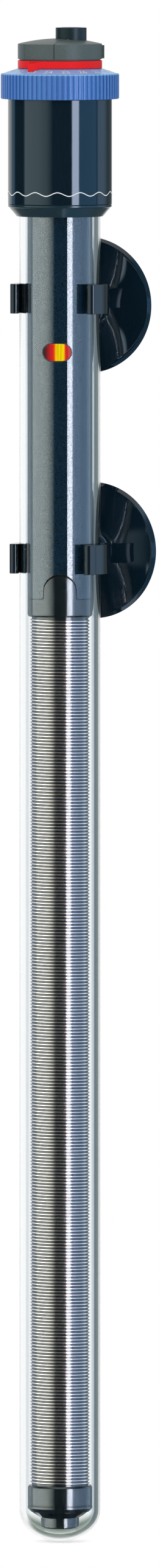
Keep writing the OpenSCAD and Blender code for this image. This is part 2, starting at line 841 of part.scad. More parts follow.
// Ring of points round a path point, square to the path
function wire_ring(p, i) =
    let (a = p[max(i - 1, 0)], b = p[min(i + 1, len(p) - 1)],
         t = unit(b - a), out = unit([p[i][0], p[i][1], 0]),
         u = unit(out - (out * t) * t), v = cross(t, u))
    [for (k = [0 : wire_sides - 1]) let (w = 360 * k / wire_sides)
        p[i] + wire_r * (cos(w) * u + sin(w) * v)];

// Least gap between two stretches of the wire that lie half a turn or more apart
function least_gap(p) =
    let (near = rings_per_turn / 2)
    min([for (i = [0 : len(p) - near - 1]) for (j = [i + near : min(i + 3 * near, len(p) - 1)])
        norm(p[i] - p[j])]) - wire_d;

module heating_coil() {
    path = coil_path();
    n = len(path);
    s = wire_sides;
    echo(heating_coil_least_gap = least_gap(path));
    color("gainsboro") in_head() polyhedron(
        points = [for (i = [0 : n - 1]) for (q = wire_ring(path, i)) q],
        faces = concat(
            [for (k = [1 : s - 2]) [0, k, k + 1]],
            [for (i = [0 : n - 2]) for (k = [0 : s - 1])
                [i * s + k, (i + 1) * s + k, (i + 1) * s + (k + 1) % s]],
            [for (i = [0 : n - 2]) for (k = [0 : s - 1])
                [i * s + k, (i + 1) * s + (k + 1) % s, i * s + (k + 1) % s]],
            [for (k = [1 : s - 2]) [(n - 1) * s, (n - 1) * s + k + 1, (n - 1) * s + k]]));
}

// Lower end cap: a round band, a notched edge and the foot
module former_lower_cap() {
    notch_w = 2.6;
    notch_deep = 2.4;
    notch_roof = 0.3;
    edge_taper = 0.9;
    color("dimgray") in_head() difference() {
        union() {
            rod(lower_cap_r, lower_cap_z, winding_z);
            rotate_extrude() polygon([[0, edge_z], [lower_cap_r - edge_taper, edge_z],
                [lower_cap_r, lower_cap_z], [0, lower_cap_z]]);
            rod(foot_d / 2, foot_z, edge_z);
        }
        for (i = [0 : edge_notches - 1]) rotate([0, 0, 360 * (i + 0.5) / edge_notches])
            translate([lower_cap_r - notch_deep, -notch_w / 2, edge_z - over])
                cube([notch_deep + over, notch_w, edge_h - notch_roof + over]);
        translate([inner_lead_x, lead_y, 0]) rod(lead_r, lower_cap_z + lead_depth, winding_z + over);
    }
}

// Clear pad between the foot and the glass
module bottom_support() {
    pad_step = 0.6;
    pad_r = foot_d / 2 - pad_step;
    color("lightgray") in_head() difference() {
        rod(pad_r, 0, foot_z);
        rotate_extrude() polygon(concat(
            end_curve(tube_bore_r, tube_wall + run_clear, tube_end_h - tube_wall, 20),
            [[tube_bore_r, -over], [0, -over]]));
    }
}

// Clip drawn round the tube's axis, with its middle at z = 0 and its socket above or below it
module clip(socket_z) {
    socket_hole_r = stud_r + run_clear;
    color([0.1, 0.1, 0.11]) difference() {
        union() {
            translate([0, 0, -clip_h / 2]) linear_extrude(height = clip_h) {
                difference() {
                    circle(r = clip_r);
                    circle(r = clip_bore_r);
                    polygon([[0, 0], for (a = [-clip_half_open, 0, clip_half_open])
                        [3 * clip_r * sin(a), -3 * clip_r * cos(a)]]);
                }
                for (s = [-1, 1]) rotate([0, 0, s * clip_half_open])
                    translate([0, -lip_mid_r]) circle(r = clip_lip_t / 2);
            }
            translate([0, 0, socket_z]) rotate([-90, 0, 0]) cylinder(r = socket_r, h = socket_y);
        }
        rod(clip_bore_r, -2 * clip_h, 2 * clip_h);
        translate([0, 0, socket_z]) rotate([-90, 0, 0]) {
            cylinder(r = socket_hole_r, h = socket_y + over);
            cylinder(r = stud_head_r + run_clear, h = shoulder_y);
        }
    }
}

// Cup drawn round the tube's axis at z = 0, with its own axis along +Y: stud, hub, a filleted
// back that swells towards the raised outer ring, the rim face and the hollow
module cup() {
    head_bevel = 0.4;
    head_top = shoulder_y - slide_gap;
    hub_top = cup_reach - cup_hollow - cup_fillet;
    hollow_r = cup_r - cup_rim_w;
    band_r = cup_r - cup_band_w;
    band_step = 0.3;
    rim_back = cup_reach - cup_rim_t;
    band_back = rim_back - band_step;
    swell = 0.55;
    flare = arc(cup_hub_r + cup_fillet, hub_top, cup_fillet, 180, 90, 6);
    back_r = cup_hub_r + cup_fillet;
    back_y = hub_top + cup_fillet;
    back = [for (i = [1 : 6]) let (u = i / 6)
        [back_r + (band_r - back_r) * u, back_y + (rim_back - back_y) * u + swell * sin(180 * u)]];
    hollow = [for (i = [0 : 10]) let (u = i / 10)
        [hollow_r * (1 - u), cup_reach - cup_hollow * sin(90 * u)]];
    color([0.11, 0.13, 0.14]) rotate([-90, 0, 0]) rotate_extrude() polygon(concat(
        [[0, head_top - stud_head_t], [stud_head_r - head_bevel, head_top - stud_head_t],
            [stud_head_r, head_top - stud_head_t / 2], [stud_head_r, head_top],
            [stud_r, head_top], [stud_r, cup_back_y], [cup_hub_r, cup_back_y]],
        flare, back, [[band_r, band_back], [cup_r, band_back], [cup_r, cup_reach]], hollow));
}

// Places of the two clips; each cup's socket is next to its clip
module at_upper_clip() {
    on_tube() translate([0, 0, upper_clip_z]) children();
}

module at_lower_clip() {
    on_tube() rotate([0, 0, -lower_clip_turn]) translate([0, 0, lower_clip_z]) children();
}

module upper_clip() {
    at_upper_clip() clip(-upper_socket_drop);
}

module upper_cup() {
    at_upper_clip() translate([0, 0, -upper_socket_drop]) cup();
}

module lower_clip() {
    at_lower_clip() clip(lower_socket_rise);
}

module lower_cup() {
    at_lower_clip() translate([0, 0, lower_socket_rise]) cup();
}

glass_tube();
tube_seal();
collar_ring();
control_housing();
spindle_seal();
knob_retainer();
temperature_knob();
calibration_ring();
top_cap();
cable_gland();
adjusting_spindle();
set_carriage();
thermostat_frame();
thermostat_sleeve();
window_lens();
neon_lamp();
lamp_resistor();
capacitor();
contact_arm();
snap_magnet();
bimetal_strip();
lead_terminals();
supply_leads();
element_leads();
former_upper_cap();
coil_former();
heating_coil();
former_lower_cap();
bottom_support();
upper_clip();
upper_cup();
lower_clip();
lower_cup();
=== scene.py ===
"""Looks of the submersible aquarium heater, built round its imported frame.

Shapes are drawn in millimetres in the tube's own frame: its axis at x = y = 0 and the glass tip
at z = 0. Pieces of the head and of the insides have their front at -Y and share the head's turn.
"""

import math

import bpy
from mathutils import Matrix, Vector
from mathutils.geometry import delaunay_2d_cdt

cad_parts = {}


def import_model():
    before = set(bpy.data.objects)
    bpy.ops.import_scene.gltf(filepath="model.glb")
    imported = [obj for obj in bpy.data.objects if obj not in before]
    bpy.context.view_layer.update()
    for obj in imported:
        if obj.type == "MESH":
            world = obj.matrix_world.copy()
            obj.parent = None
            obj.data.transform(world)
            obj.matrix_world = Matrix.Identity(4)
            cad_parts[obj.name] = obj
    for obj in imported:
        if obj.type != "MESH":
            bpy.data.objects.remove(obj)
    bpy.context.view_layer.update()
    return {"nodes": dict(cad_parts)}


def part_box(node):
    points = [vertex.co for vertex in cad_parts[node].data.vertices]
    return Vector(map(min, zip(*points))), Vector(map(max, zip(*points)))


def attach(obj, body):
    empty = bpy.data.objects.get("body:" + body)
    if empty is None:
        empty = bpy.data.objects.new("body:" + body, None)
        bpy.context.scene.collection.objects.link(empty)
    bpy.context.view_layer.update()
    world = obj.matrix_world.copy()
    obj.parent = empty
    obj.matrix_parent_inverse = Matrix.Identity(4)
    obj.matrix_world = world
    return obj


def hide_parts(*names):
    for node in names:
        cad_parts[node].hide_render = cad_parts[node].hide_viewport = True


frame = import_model()

MM = 0.001
TAU = 2 * math.pi
SMALL = 1e-6

# ---------------------------------------------------------------- the frame, in millimetres

TUBE_LOW, TUBE_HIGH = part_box("glass_tube")
TIP = Vector(((TUBE_LOW.x + TUBE_HIGH.x) / 2, (TUBE_LOW.y + TUBE_HIGH.y) / 2, TUBE_LOW.z))


def low(node):
    """Lowest z of a CAD node above the glass tip."""
    return (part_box(node)[0].z - TIP.z) / MM


def high(node):
    """Highest z of a CAD node above the glass tip."""
    return (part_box(node)[1].z - TIP.z) / MM


def radius(node):
    """Half of a CAD node's width along X."""
    lowest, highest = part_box(node)
    return (highest.x - lowest.x) / 2 / MM


def centre(node):
    """Middle of a CAD node's box in the tube's frame."""
    lowest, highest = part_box(node)
    return ((lowest + highest) / 2 - TIP) / MM


GLAND_PLACE = centre("cable_gland").xy
HEAD_TURN = math.atan2(GLAND_PLACE.y, GLAND_PLACE.x)
GLAND_OFFSET = GLAND_PLACE.length

TUBE_R = radius("glass_tube")
TUBE_TOP = high("glass_tube")
TUBE_WALL = 1.8
TUBE_END = 9.4
BORE_R = TUBE_R - TUBE_WALL

COLLAR_Z = low("collar_ring")
HOUSING_Z = low("control_housing")
HOUSING_R = radius("control_housing")
HOUSING_BORE_R = TUBE_R + 1.55
DECK_T = 2.2
KNOB_Z = low("temperature_knob")
DECK_Z = KNOB_Z - 0.3
KNOB_R = radius("temperature_knob")
DIAL_TOP_Z = high("temperature_knob")
DIAL_RISE = 1.5
SKIRT_TOP_Z = DIAL_TOP_Z - DIAL_RISE
RING_TOP_Z = high("calibration_ring")
RING_Z = RING_TOP_Z - 2.3
CAP_R = 12.5
HUB_R = 9.0
HUB_BORE_R = HUB_R + 0.05
CAP_Z = RING_TOP_Z + 0.1
DOME_RISE = 1.5
DOME_Z = high("top_cap")
CAP_SIDE_Z = DOME_Z - DOME_RISE
GLAND_TOP_Z = high("cable_gland")
GLAND_BOTTOM_Z = low("cable_gland")
GLAND_R = radius("cable_gland")
CABLE_R = 3.25
STEM_R = GLAND_R + 0.9

SLEEVE_R = radius("thermostat_sleeve")
SLEEVE_BORE_R = SLEEVE_R - 0.6
SLEEVE_Z = low("thermostat_sleeve")
SLEEVE_TOP_Z = high("thermostat_sleeve")
WINDING_Z = low("heating_coil")
WINDING_TOP_Z = high("heating_coil")
WINDING_R = radius("heating_coil")
EDGE_Z = WINDING_Z - 7.9
FOOT_Z = low("former_lower_cap")
FOOT_R = 5.7

# ---------------------------------------------------------------- shape helpers


def arc(x, y, r, start, stop, steps):
    """Points of an arc between two angles in degrees."""
    turn = [math.radians(start + (stop - start) * i / steps) for i in range(steps + 1)]
    return [(x + r * math.cos(a), y + r * math.sin(a)) for a in turn]


def rounded(corners, steps=4, closed=True):
    """Outline through corners (x, y, fillet radius), with an arc at each corner that has a radius."""
    points = []
    count = len(corners)
    for i, (x, y, fillet) in enumerate(corners):
        here = Vector((x, y))
        if fillet <= 0 or (not closed and i in (0, count - 1)):
            points.append((x, y))
            continue
        before = Vector(corners[i - 1][:2]) - here
        after = Vector(corners[(i + 1) % count][:2]) - here
        half = before.angle(after) / 2
        room = 0.49 * min(before.length, after.length)
        reach = min(fillet / math.tan(half), room)
        centre_point = here + (before.normalized() + after.normalized()).normalized() * reach / math.cos(half)
        first = here + before.normalized() * reach - centre_point
        last = here + after.normalized() * reach - centre_point
        sweep = first.angle_signed(last)
        for k in range(steps + 1):
            # angle_signed is clockwise positive
            a = -sweep * k / steps
            points.append((
                centre_point.x + first.x * math.cos(a) - first.y * math.sin(a),
                centre_point.y + first.x * math.sin(a) + first.y * math.cos(a),
            ))
    return points


def divided(points, longest):
    """Outline with points added so that no straight is longer than a length."""
    full = points[:1]
    for here in points[1:]:
        last = Vector(full[-1])
        run = Vector(here) - last
        parts = max(math.ceil(run.length / longest), 1)
        full += [tuple(last + run * k / parts) for k in range(1, parts)] + [here]
    return full


def lathe(profile, steps=144, closed=True):
    """Solid of revolution round Z. A closed profile makes a ring, an open one runs from pole to pole."""
    verts, rows = [], []
    for r, z in profile:
        if r < SMALL:
            rows.append([len(verts)] * steps)
            verts.append((0, 0, z))
            continue
        rows.append(list(range(len(verts), len(verts) + steps)))
        verts += [(r * math.cos(TAU * i / steps), r * math.sin(TAU * i / steps), z) for i in range(steps)]
    return verts, bands(rows, closed)


def bands(rows, closed):
    """Quads between rows of vertex numbers that each run once round; poles give triangles."""
    faces = []
    for a, b in zip(rows, rows[1:] + (rows[:1] if closed else [])):
        for i in range(len(a)):
            j = (i + 1) % len(a)
            face = list(dict.fromkeys((a[i], a[j], b[j], b[i])))
            if len(face) > 2:
                faces.append(face)
    return faces


def loft(loops, closed=False):
    """Skin over loops of as many points each. An open loft gets a cap at both ends."""
    size = len(loops[0])
    verts = [p for loop in loops for p in loop]
    rows = [list(range(k * size, (k + 1) * size)) for k in range(len(loops))]
    faces = bands(rows, closed)
    if not closed:
        faces += [rows[0][::-1], rows[-1]]
    return verts, faces


def shrunk(outline, by):
    """A closed counter-clockwise outline moved inward by a distance."""
    points = []
    for i, here in enumerate(outline):
        before = Vector(here) - Vector(outline[i - 1])
        after = Vector(outline[(i + 1) % len(outline)]) - Vector(here)
        along = (before.normalized() + after.normalized()).normalized()
        points.append((here[0] - along.y * by, here[1] + along.x * by))
    return points


def slab(outline, z0, z1, edge=0.3, steps=3):
    """Prism of a counter-clockwise outline with rounded top and bottom edges."""
    loops = []
    for a in [90 * k / steps for k in range(steps + 1)]:
        inset = edge * (1 - math.sin(math.radians(a)))
        z = z0 + edge * (1 - math.cos(math.radians(a)))
        loops.append([(x, y, z) for x, y in shrunk(outline, inset)])
    loops += [[(x, y, z0 + z1 - z) for x, y, z in loop] for loop in reversed(loops)]
    return loft(loops)


def block(x0, x1, y0, y1, z0, z1, edge):
    """Box with softened edges at both ends."""
    return slab([(x0, y0), (x1, y0), (x1, y1), (x0, y1)], z0, z1, edge=edge)


def moved(shape, offset=(0, 0, 0), turn=0.0, matrix=None):
    """A shape turned round Z by an angle in degrees, then moved, or put through a matrix."""
    matrix = matrix or Matrix.Translation(offset) @ Matrix.Rotation(math.radians(turn), 4, "Z")
    return [tuple(matrix @ Vector(v)) for v in shape[0]], shape[1]


def joined(*shapes):
    """Several shapes as one."""
    verts, faces = [], []
    for shape_verts, shape_faces in shapes:
        faces += [[i + len(verts) for i in face] for face in shape_faces]
        verts += shape_verts
    return verts, faces


def inside(point, outline):
    """Whether a point lies inside a closed outline."""
    x, y = point
    hit = False
    for (x0, y0), (x1, y1) in zip(outline, outline[1:] + outline[:1]):
        if (y0 > y) != (y1 > y) and x < x0 + (y - y0) * (x1 - x0) / (y1 - y0):
            hit = not hit
    return hit


def wrapped(outline, holes, r_out, r_in, grid):
    """Curved plate round Z, with outlines in degrees from the front and in z. Gives the shape and its normals."""
    loops = [outline] + holes
    points, edges = [], []
    for loop in loops:
        start = len(points)
        points += loop
        edges += [(start + i, start + (i + 1) % len(loop)) for i in range(len(loop))]
    points += [p for p in grid if inside(p, outline) and not any(inside(p, h) for h in holes)]
    flat, _, triangles, *_ = delaunay_2d_cdt([Vector(p) for p in points], edges, [], 0, 1e-5)
    keys, number, verts, kept = {}, [], [], []
    for p in flat:
        key = (round((p.x + 180) % 360, 3) % 360, round(p.y, 4))
        number.append(keys.setdefault(key, len(keys)))
    places = sorted(keys, key=keys.get)
    for r in (r_out, r_in):
        for degrees, z in places:
            a = math.radians(degrees - 180)
            verts.append((r * math.sin(a), -r * math.cos(a), z))
    for t in triangles:
        middle = tuple(sum(flat[i][k] for i in t) / 3 for k in (0, 1))
        if inside(middle, outline) and not any(inside(middle, h) for h in holes):
            kept.append([number[i] for i in t])
    inner = len(places)
    faces = list(kept) + [[i + inner for i in reversed(t)] for t in kept]
    used = dict.fromkeys((a, b) for t in kept for a, b in zip(t, t[1:] + t[:1]))
    faces += [[b, a, a + inner, b + inner] for a, b in used if (b, a) not in used]
    normals = []
    for face in faces:
        across = len({i >= inner for i in face}) > 1
        side = 1 if face[0] < inner else -1
        for i in face:
            x, y, _ = verts[i]
            r = math.hypot(x, y)
            normals.append((0, 0, 0) if across else (side * x / r, side * y / r, 0))
    return (verts, faces), normals


# ---------------------------------------------------------------- pieces

HEAD = Matrix.Rotation(HEAD_TURN, 4, "Z")


def linked(name, data):
    """New object in the scene."""
    made = bpy.data.objects.new(name, data)
    bpy.context.scene.collection.objects.link(made)
    return made


def outward(mesh):
    """Turns the faces of a closed mesh outward where most of its volume is inside out."""
    volume = 0.0
    for polygon in mesh.polygons:
        corners = [mesh.vertices[i].co for i in polygon.vertices]
        for b, c in zip(corners[1:], corners[2:]):
            volume += corners[0].dot(b.cross(c))
    if volume < 0:
        mesh.flip_normals()


def placed_mesh(name, shape, head=True):
    """Mesh of a shape in the shared frame; a shape of the head gets the head's turn."""
    mesh = bpy.data.meshes.new(name)
    mesh.from_pydata(shape[0], [], shape[1])
    mesh.transform(Matrix.Translation(TIP) @ Matrix.Scale(MM, 4) @ (HEAD if head else Matrix.Identity(4)))
    mesh.validate()
    outward(mesh)
    return mesh


def shaded(mesh, sharp=32):
    """Smooth shading that breaks at edges over an angle in degrees."""
    mesh.polygons.foreach_set("use_smooth", [True] * len(mesh.polygons))
    mesh.set_sharp_from_angle(angle=math.radians(sharp))


def level_normals(made):
    """Lets normals lean on the larger faces, so that a wall between two fillets mirrors as straight."""
    weighted = made.modifiers.new("normals", "WEIGHTED_NORMAL")
    weighted.keep_sharp = True
    weighted.weight = 50


def piece(name, shape, body, slot, nodes=(), finish=None, head=True, sharp=32, normals=None, flats=True):
    """Makes a shown piece from a shape in the tube's frame, parents it to its body, gives it the finish named by
    its slot or finish, and hides the CAD nodes it takes the place of.
    """
    mesh = placed_mesh(name, shape, head)
    piece_object = linked(name, mesh)
    shaded(mesh, sharp)
    if normals:
        mesh.normals_split_custom_set([HEAD.to_3x3() @ Vector(n) for n in normals])
    elif flats:
        level_normals(piece_object)
    mesh.materials.append(FINISH[finish or slot])
    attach(piece_object, body)
    if nodes:
        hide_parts(*nodes)
    return piece_object


def cut(target, shape):
    """Takes a shape out of a piece."""
    cutter = linked("cutter", placed_mesh("cutter", shape))
    target.modifiers.clear()
    boolean = target.modifiers.new("cut", "BOOLEAN")
    boolean.operation, boolean.solver, boolean.object = "DIFFERENCE", "EXACT", cutter
    bpy.context.view_layer.update()
    done = bpy.data.meshes.new_from_object(target.evaluated_get(bpy.context.evaluated_depsgraph_get()))
    target.modifiers.clear()
    done.name = target.data.name
    target.data = done
    bpy.data.objects.remove(cutter)
    shaded(done)
    level_normals(target)


# ---------------------------------------------------------------- finishes


class Graph:
    """Node tree of a material or of the world, with short calls for the nodes used here."""

    def __init__(self, owner):
        owner.use_nodes = True
        self.nodes, self.links = owner.node_tree.nodes, owner.node_tree.links

    def feed(self, node, inputs):
        """Sets a node's sockets to values, or links them to other nodes' outputs."""
        for socket, value in inputs.items():
            if isinstance(value, bpy.types.NodeSocket):
                self.links.new(value, node.inputs[socket])
            else:
                node.inputs[socket].default_value = value
        return node

    def node(self, kind, inputs=None, **settings):
        """New node of a kind."""
        made = self.nodes.new("ShaderNode" + kind)
        for name, value in settings.items():
            setattr(made, name, value)
        return self.feed(made, inputs or {})

    def math(self, operation, *values):
        """Result of a sum on values or outputs."""
        return self.node("Math", dict(enumerate(values)), operation=operation).outputs[0]

    def scaled(self, value, low_end, high_end, start=0, stop=1, kind="LINEAR"):
        """A value mapped from between start and stop to between two ends."""
        inputs = {"Value": value, "From Min": start, "From Max": stop, "To Min": low_end, "To Max": high_end}
        return self.node("MapRange", inputs, interpolation_type=kind).outputs["Result"]

    def noise(self, size, stretch=1.0, detail=3.0):
        """Noise with grains of a size in mm, stretched along Z."""
        per_metre = 1 / (size * MM)
        coords = self.node("TexCoord").outputs["Object"]
        scale = (per_metre, per_metre, per_metre / stretch)
        mapping = self.node("Mapping", {"Vector": coords, "Scale": scale})
        inputs = {"Vector": mapping.outputs["Vector"], "Scale": 1.0, "Detail": detail}
        return self.node("TexNoise", inputs).outputs["Fac"]

    def ramp(self, value, stops):
        """Colour ramp through stops (place, colour)."""
        node = self.node("ValToRGB", {"Fac": value})
        elements = node.color_ramp.elements
        while len(elements) < len(stops):
            elements.new(0.5)
        for element, (place, color) in zip(elements, stops):
            element.position = place
            element.color = (*color, 1)
        return node.outputs["Color"]

    def mix(self, share, first, second, blend="MIX"):
        """Mix of two colours, each an output or a plain colour."""
        first, second = ((*c, 1) if isinstance(c, tuple) else c for c in (first, second))
        inputs = {"Factor": share, "A": first, "B": second}
        return self.node("Mix", inputs, data_type="RGBA", blend_type=blend).outputs["Result"]


def shader_material(name):
    """New material with its graph and its shader."""
    material = bpy.data.materials.new(name)
    graph = Graph(material)
    return material, graph, graph.nodes["Principled BSDF"]


def finish(name, color, roughness, grain=0.6, stretch=1.0, mottle=0.08, rough_mottle=0.04, relief=0.0,
           **sockets):
    """Material whose colour, roughness and relief (in mm) follow a fine grain."""
    material, graph, shader = shader_material(name)
    fine = graph.noise(grain, stretch)
    dark = tuple(c * (1 - mottle) for c in color)
    light = tuple(min(c * (1 + mottle), 1) for c in color)
    inputs = {
        "Base Color": graph.ramp(fine, [(0.3, dark), (0.7, light)]),
        "Roughness": graph.scaled(fine, max(roughness - rough_mottle, 0), roughness + rough_mottle),
    }
    if relief:
        inputs["Normal"] = graph.node("Bump", {"Distance": relief * MM, "Height": fine}).outputs["Normal"]
    inputs.update({socket.replace("_", " "): value for socket, value in sockets.items()})
    graph.feed(shader, inputs)
    return material


def glass_finish():
    """Clear glass with the faint lengthwise tint of a drawn tube."""
    material, graph, shader = shader_material("glass")
    waves = graph.noise(3.0, stretch=60, detail=1)
    graph.feed(shader, {
        "Base Color": graph.ramp(waves, [(0, (0.96, 0.985, 0.98)), (1, (0.99, 1, 0.995))]),
        "Transmission Weight": 1, "Roughness": 0, "IOR": 1.47, "Specular Tint": (0.08, 0.08, 0.08, 1)})
    return material


# Painted glow across the lens, in place of the lamp's light behind it: mm from its middle, colour
PAINTED_GLOW_HALF = 4.4
PAINTED_GLOW = [
    (-4.3, (0.02, 0.004, 0.004)), (-3.4, (0.02, 0.004, 0.004)), (-2.5, (0.3, 0.005, 0.008)),
    (-1.3, (0.6, 0.008, 0.01)), (-0.7, (0.8, 0.07, 0.008)), (-0.35, (0.82, 0.55, 0.0)),
    (1.95, (0.82, 0.62, 0.0)), (2.25, (0.7, 0.06, 0.01)), (2.7, (0.58, 0.01, 0.012)),
    (3.9, (0.45, 0.02, 0.02)), (4.3, (0.08, 0.01, 0.01)),
]


def lens_finish(middle, across):
    """Red lens with a painted glow: an emission ramp fixed to the lens stands in for the lamp's light, a yellow
    core right of the middle, dark red to the left.
    """
    material, graph, shader = shader_material("lens_red")
    width = 2 * PAINTED_GLOW_HALF
    coords = graph.node("TexCoord").outputs["Object"]
    shift = graph.node("VectorMath", {0: coords, 1: middle - across * PAINTED_GLOW_HALF * MM}, operation="SUBTRACT")
    side = graph.node("VectorMath", {0: shift.outputs["Vector"], 1: across / (width * MM)},
                      operation="DOT_PRODUCT")
    painted_glow = graph.ramp(side.outputs["Value"], [((x + PAINTED_GLOW_HALF) / width, color) for x, color in PAINTED_GLOW])
    streaks = graph.noise(0.5, stretch=30, detail=2)
    graph.feed(shader, {
        "Base Color": graph.ramp(streaks, [(0.3, (0.03, 0.002, 0.003)), (0.7, (0.06, 0.003, 0.004))]),
        "Roughness": graph.scaled(streaks, 0.05, 0.12),
        "Specular IOR Level": 0.05,
        # painted glow: emission from the lens itself, streaked, in place of the neon lamp's light behind it
        "Emission Color": graph.mix(1, painted_glow, graph.scaled(streaks, 0.35, 1.45), blend="MULTIPLY"),
        "Emission Strength": 1.1})
    return material


# Colour, roughness and what else each finish says
LOOKS = {
    "black_rubber": ((0.03, 0.035, 0.04), 0.6, dict(relief=0.01)),
    "collar_plastic": ((0.012, 0.03, 0.042), 0.16, dict(grain=0.4, relief=0.002)),
    "housing_plastic": ((0.004, 0.012, 0.02), 0.06, dict(grain=0.5, stretch=8, relief=0.0006)),
    "steel": ((0.62, 0.62, 0.63), 0.3, dict(grain=0.2, relief=0.002, Metallic=1.0)),
    "knob_plastic": ((0.06, 0.185, 0.51), 0.3, dict(grain=0.25, mottle=0.05, relief=0.002)),
    # a lighter cyan on the faces of the ribs' top edge: a painted highlight
    "knob_rim_painted_highlight": ((0.2, 0.46, 0.75), 0.3, dict(grain=0.25, mottle=0.05, relief=0.002)),
    # the knob's blue made lighter on the upward-facing dial cone: painted light from above
    "dial_painted_light": ((0.2, 0.47, 0.88), 0.3, dict(grain=0.25, mottle=0.05, relief=0.002)),
    "pointer_plastic": ((0.84, 0.016, 0.02), 0.4, dict(grain=0.3, mottle=0.05, relief=0.002,
                                                       Specular_IOR_Level=0.1)),
    "cap_plastic": ((0.088, 0.112, 0.108), 0.42, dict(grain=0.22, mottle=0.16, relief=0.006,
                                                      Specular_IOR_Level=0.25)),
    "gland_rubber": ((0.014, 0.026, 0.03), 0.38, dict(grain=0.3, relief=0.003, Specular_IOR_Level=0.3)),
    "brass": ((0.78, 0.6, 0.28), 0.25, dict(grain=0.3, Metallic=1.0)),
    "white_nylon": ((0.8, 0.8, 0.76), 0.45, dict(relief=0.004)),
    "frame_plastic": ((0.5, 0.4, 0.26), 0.5, dict(relief=0.006)),
    "sleeve_plastic": ((0.006, 0.028, 0.054), 0.05, dict(grain=0.35, mottle=0.2, rough_mottle=0.005,
                                                         Specular_IOR_Level=1.0)),
    "neon_glass": ((1.0, 0.5, 0.08), 0.1, dict(Emission_Color=(1.0, 0.35, 0.05, 1), Emission_Strength=1.2)),
    "component_body": ((0.5, 0.32, 0.16), 0.25, {}),
    "capacitor_body": ((0.08, 0.2, 0.4), 0.3, {}),
    "bimetal": ((0.6, 0.5, 0.4), 0.3, dict(grain=0.2, stretch=20, Metallic=1.0)),
    "wire_insulation": ((0.25, 0.1, 0.04), 0.45, {}),
    "end_cap_plastic": ((0.005, 0.012, 0.016), 0.14, dict(grain=0.3, mottle=0.3, relief=0.002,
                                                          Specular_IOR_Level=1.0)),
    "ceramic": ((0.01, 0.016, 0.022), 0.13, dict(grain=0.3, mottle=0.35, relief=0.002,
                                                 Specular_IOR_Level=0.9)),
    "heating_wire": ((0.96, 0.79, 0.73), 0.12, dict(grain=0.3, mottle=0.05, Metallic=1.0)),
    "clear_silicone": ((0.97, 0.98, 0.975), 0.0, dict(rough_mottle=0, mottle=0.02, Transmission_Weight=1.0,
                                                      IOR=1.02)),
    "clip_plastic": ((0.005, 0.01, 0.014), 0.1, dict(grain=0.5, relief=0.001)),
    "cup_rubber": ((0.003, 0.012, 0.022), 0.035, dict(rough_mottle=0.005)),
    "white_print": ((0.8, 0.84, 0.88), 0.5, dict(grain=0.15, mottle=0.06)),
}
FINISH = {name: finish(name, color, roughness, **more) for name, (color, roughness, more) in LOOKS.items()}
FINISH["glass"] = glass_finish()

# ---------------------------------------------------------------- tube and head


def glass_tube():
    """Drawn glass tube with a rounded closed end."""
    steps = 40
    end = [90 * i / steps for i in range(steps + 1)]
    outer = [(TUBE_R * math.sin(math.radians(a)), TUBE_END * (1 - math.cos(math.radians(a)))) for a in end]
    rise = TUBE_END - TUBE_WALL
    inner = [(BORE_R * math.sin(math.radians(a)), TUBE_WALL + rise * (1 - math.cos(math.radians(a))))
             for a in end]
    rim = rounded([
        (TUBE_R, TUBE_END, 0), (TUBE_R, TUBE_TOP, 0.5), (BORE_R, TUBE_TOP, 0.5), (BORE_R, TUBE_END, 0)],
        closed=False)
    return lathe(divided(outer + rim[1:-1] + inner[::-1], 6), steps=256, closed=False)


def collar_ring():
    """Conical collar with a rounded lip under the housing."""
    lip = HOUSING_R - 0.05
    return lathe(rounded([
        (TUBE_R + 0.05, COLLAR_Z, 0), (TUBE_R + 0.8, COLLAR_Z, 0.15), (lip - 0.35, HOUSING_Z - 0.95, 0.25),
        (lip, HOUSING_Z - 0.7, 0.3), (lip, HOUSING_Z - 0.02, 0.12),
        (HOUSING_BORE_R - 0.05, HOUSING_Z - 0.02, 0), (HOUSING_BORE_R - 0.05, high("collar_ring"), 0.2),
        (TUBE_R + 0.05, high("collar_ring"), 0.2)]), steps=192)


def control_housing():
    """Shell with a deck, and the hollow stem that carries the cap."""
    rim_z, under_z = KNOB_Z - 0.08, DECK_Z - DECK_T
    hole_r, bore_r = CABLE_R + GLAND_OFFSET + 1, CABLE_R + 0.35
    shell = lathe(rounded([
        (HOUSING_BORE_R, HOUSING_Z, 0.15), (HOUSING_R, HOUSING_Z, 0.2), (HOUSING_R, rim_z, 0.12),
        (HOUSING_R - 1.2, rim_z, 0), (HOUSING_R - 1.5, DECK_Z, 0), (hole_r, DECK_Z, 0), (hole_r, under_z, 0),
        (HOUSING_BORE_R, under_z, 0.5)]), steps=192)
    stem = moved(lathe([
        (bore_r, under_z), (STEM_R, under_z), (STEM_R, CAP_Z + 3), (GLAND_R, CAP_Z + 3),
        (GLAND_R, GLAND_BOTTOM_Z), (bore_r, GLAND_BOTTOM_Z)], steps=64), (GLAND_OFFSET, 0, 0))
    return joined(shell, stem)


def water_line():
    """Printed wave round the housing that marks the lowest water level."""
    waves, per_wave = 14, 20
    middle_z, swing, half_w, crest = HOUSING_Z + 3.3, 0.54, 0.135, -2.7
    count = waves * per_wave
    loops = []
    for lift, edge in ((-0.02, -1), (0.03, -1), (0.03, 1), (-0.02, 1)):
        loop = []
        for i in range(count):
            degrees = 360 * i / count
            z = middle_z + swing * math.cos(math.radians(waves * (degrees - crest))) + edge * half_w
            a = math.radians(degrees)
            loop.append(((HOUSING_R + lift) * math.sin(a), -(HOUSING_R + lift) * math.cos(a), z))
        loops.append(loop)
    return loft(loops, closed=True)


# Knob: the skirt's ribs, the cone of the dial and the ring gear inside
RIBS = 72
RIB_DEPTH = 0.45
DIAL_EDGE_R = KNOB_R - RIB_DEPTH - 0.15
WEB_Z = DIAL_TOP_Z - 1.8
GEAR_MODULE = 0.5
KNOB_TEETH = 48
GEAR_PLAY = 0.24
PRESSURE_ANGLE = math.radians(20)


def dial_z(r):
    """Height of the dial's cone at a radius."""
    return DIAL_TOP_Z - (r - CAP_R) * DIAL_RISE / (DIAL_EDGE_R - CAP_R)


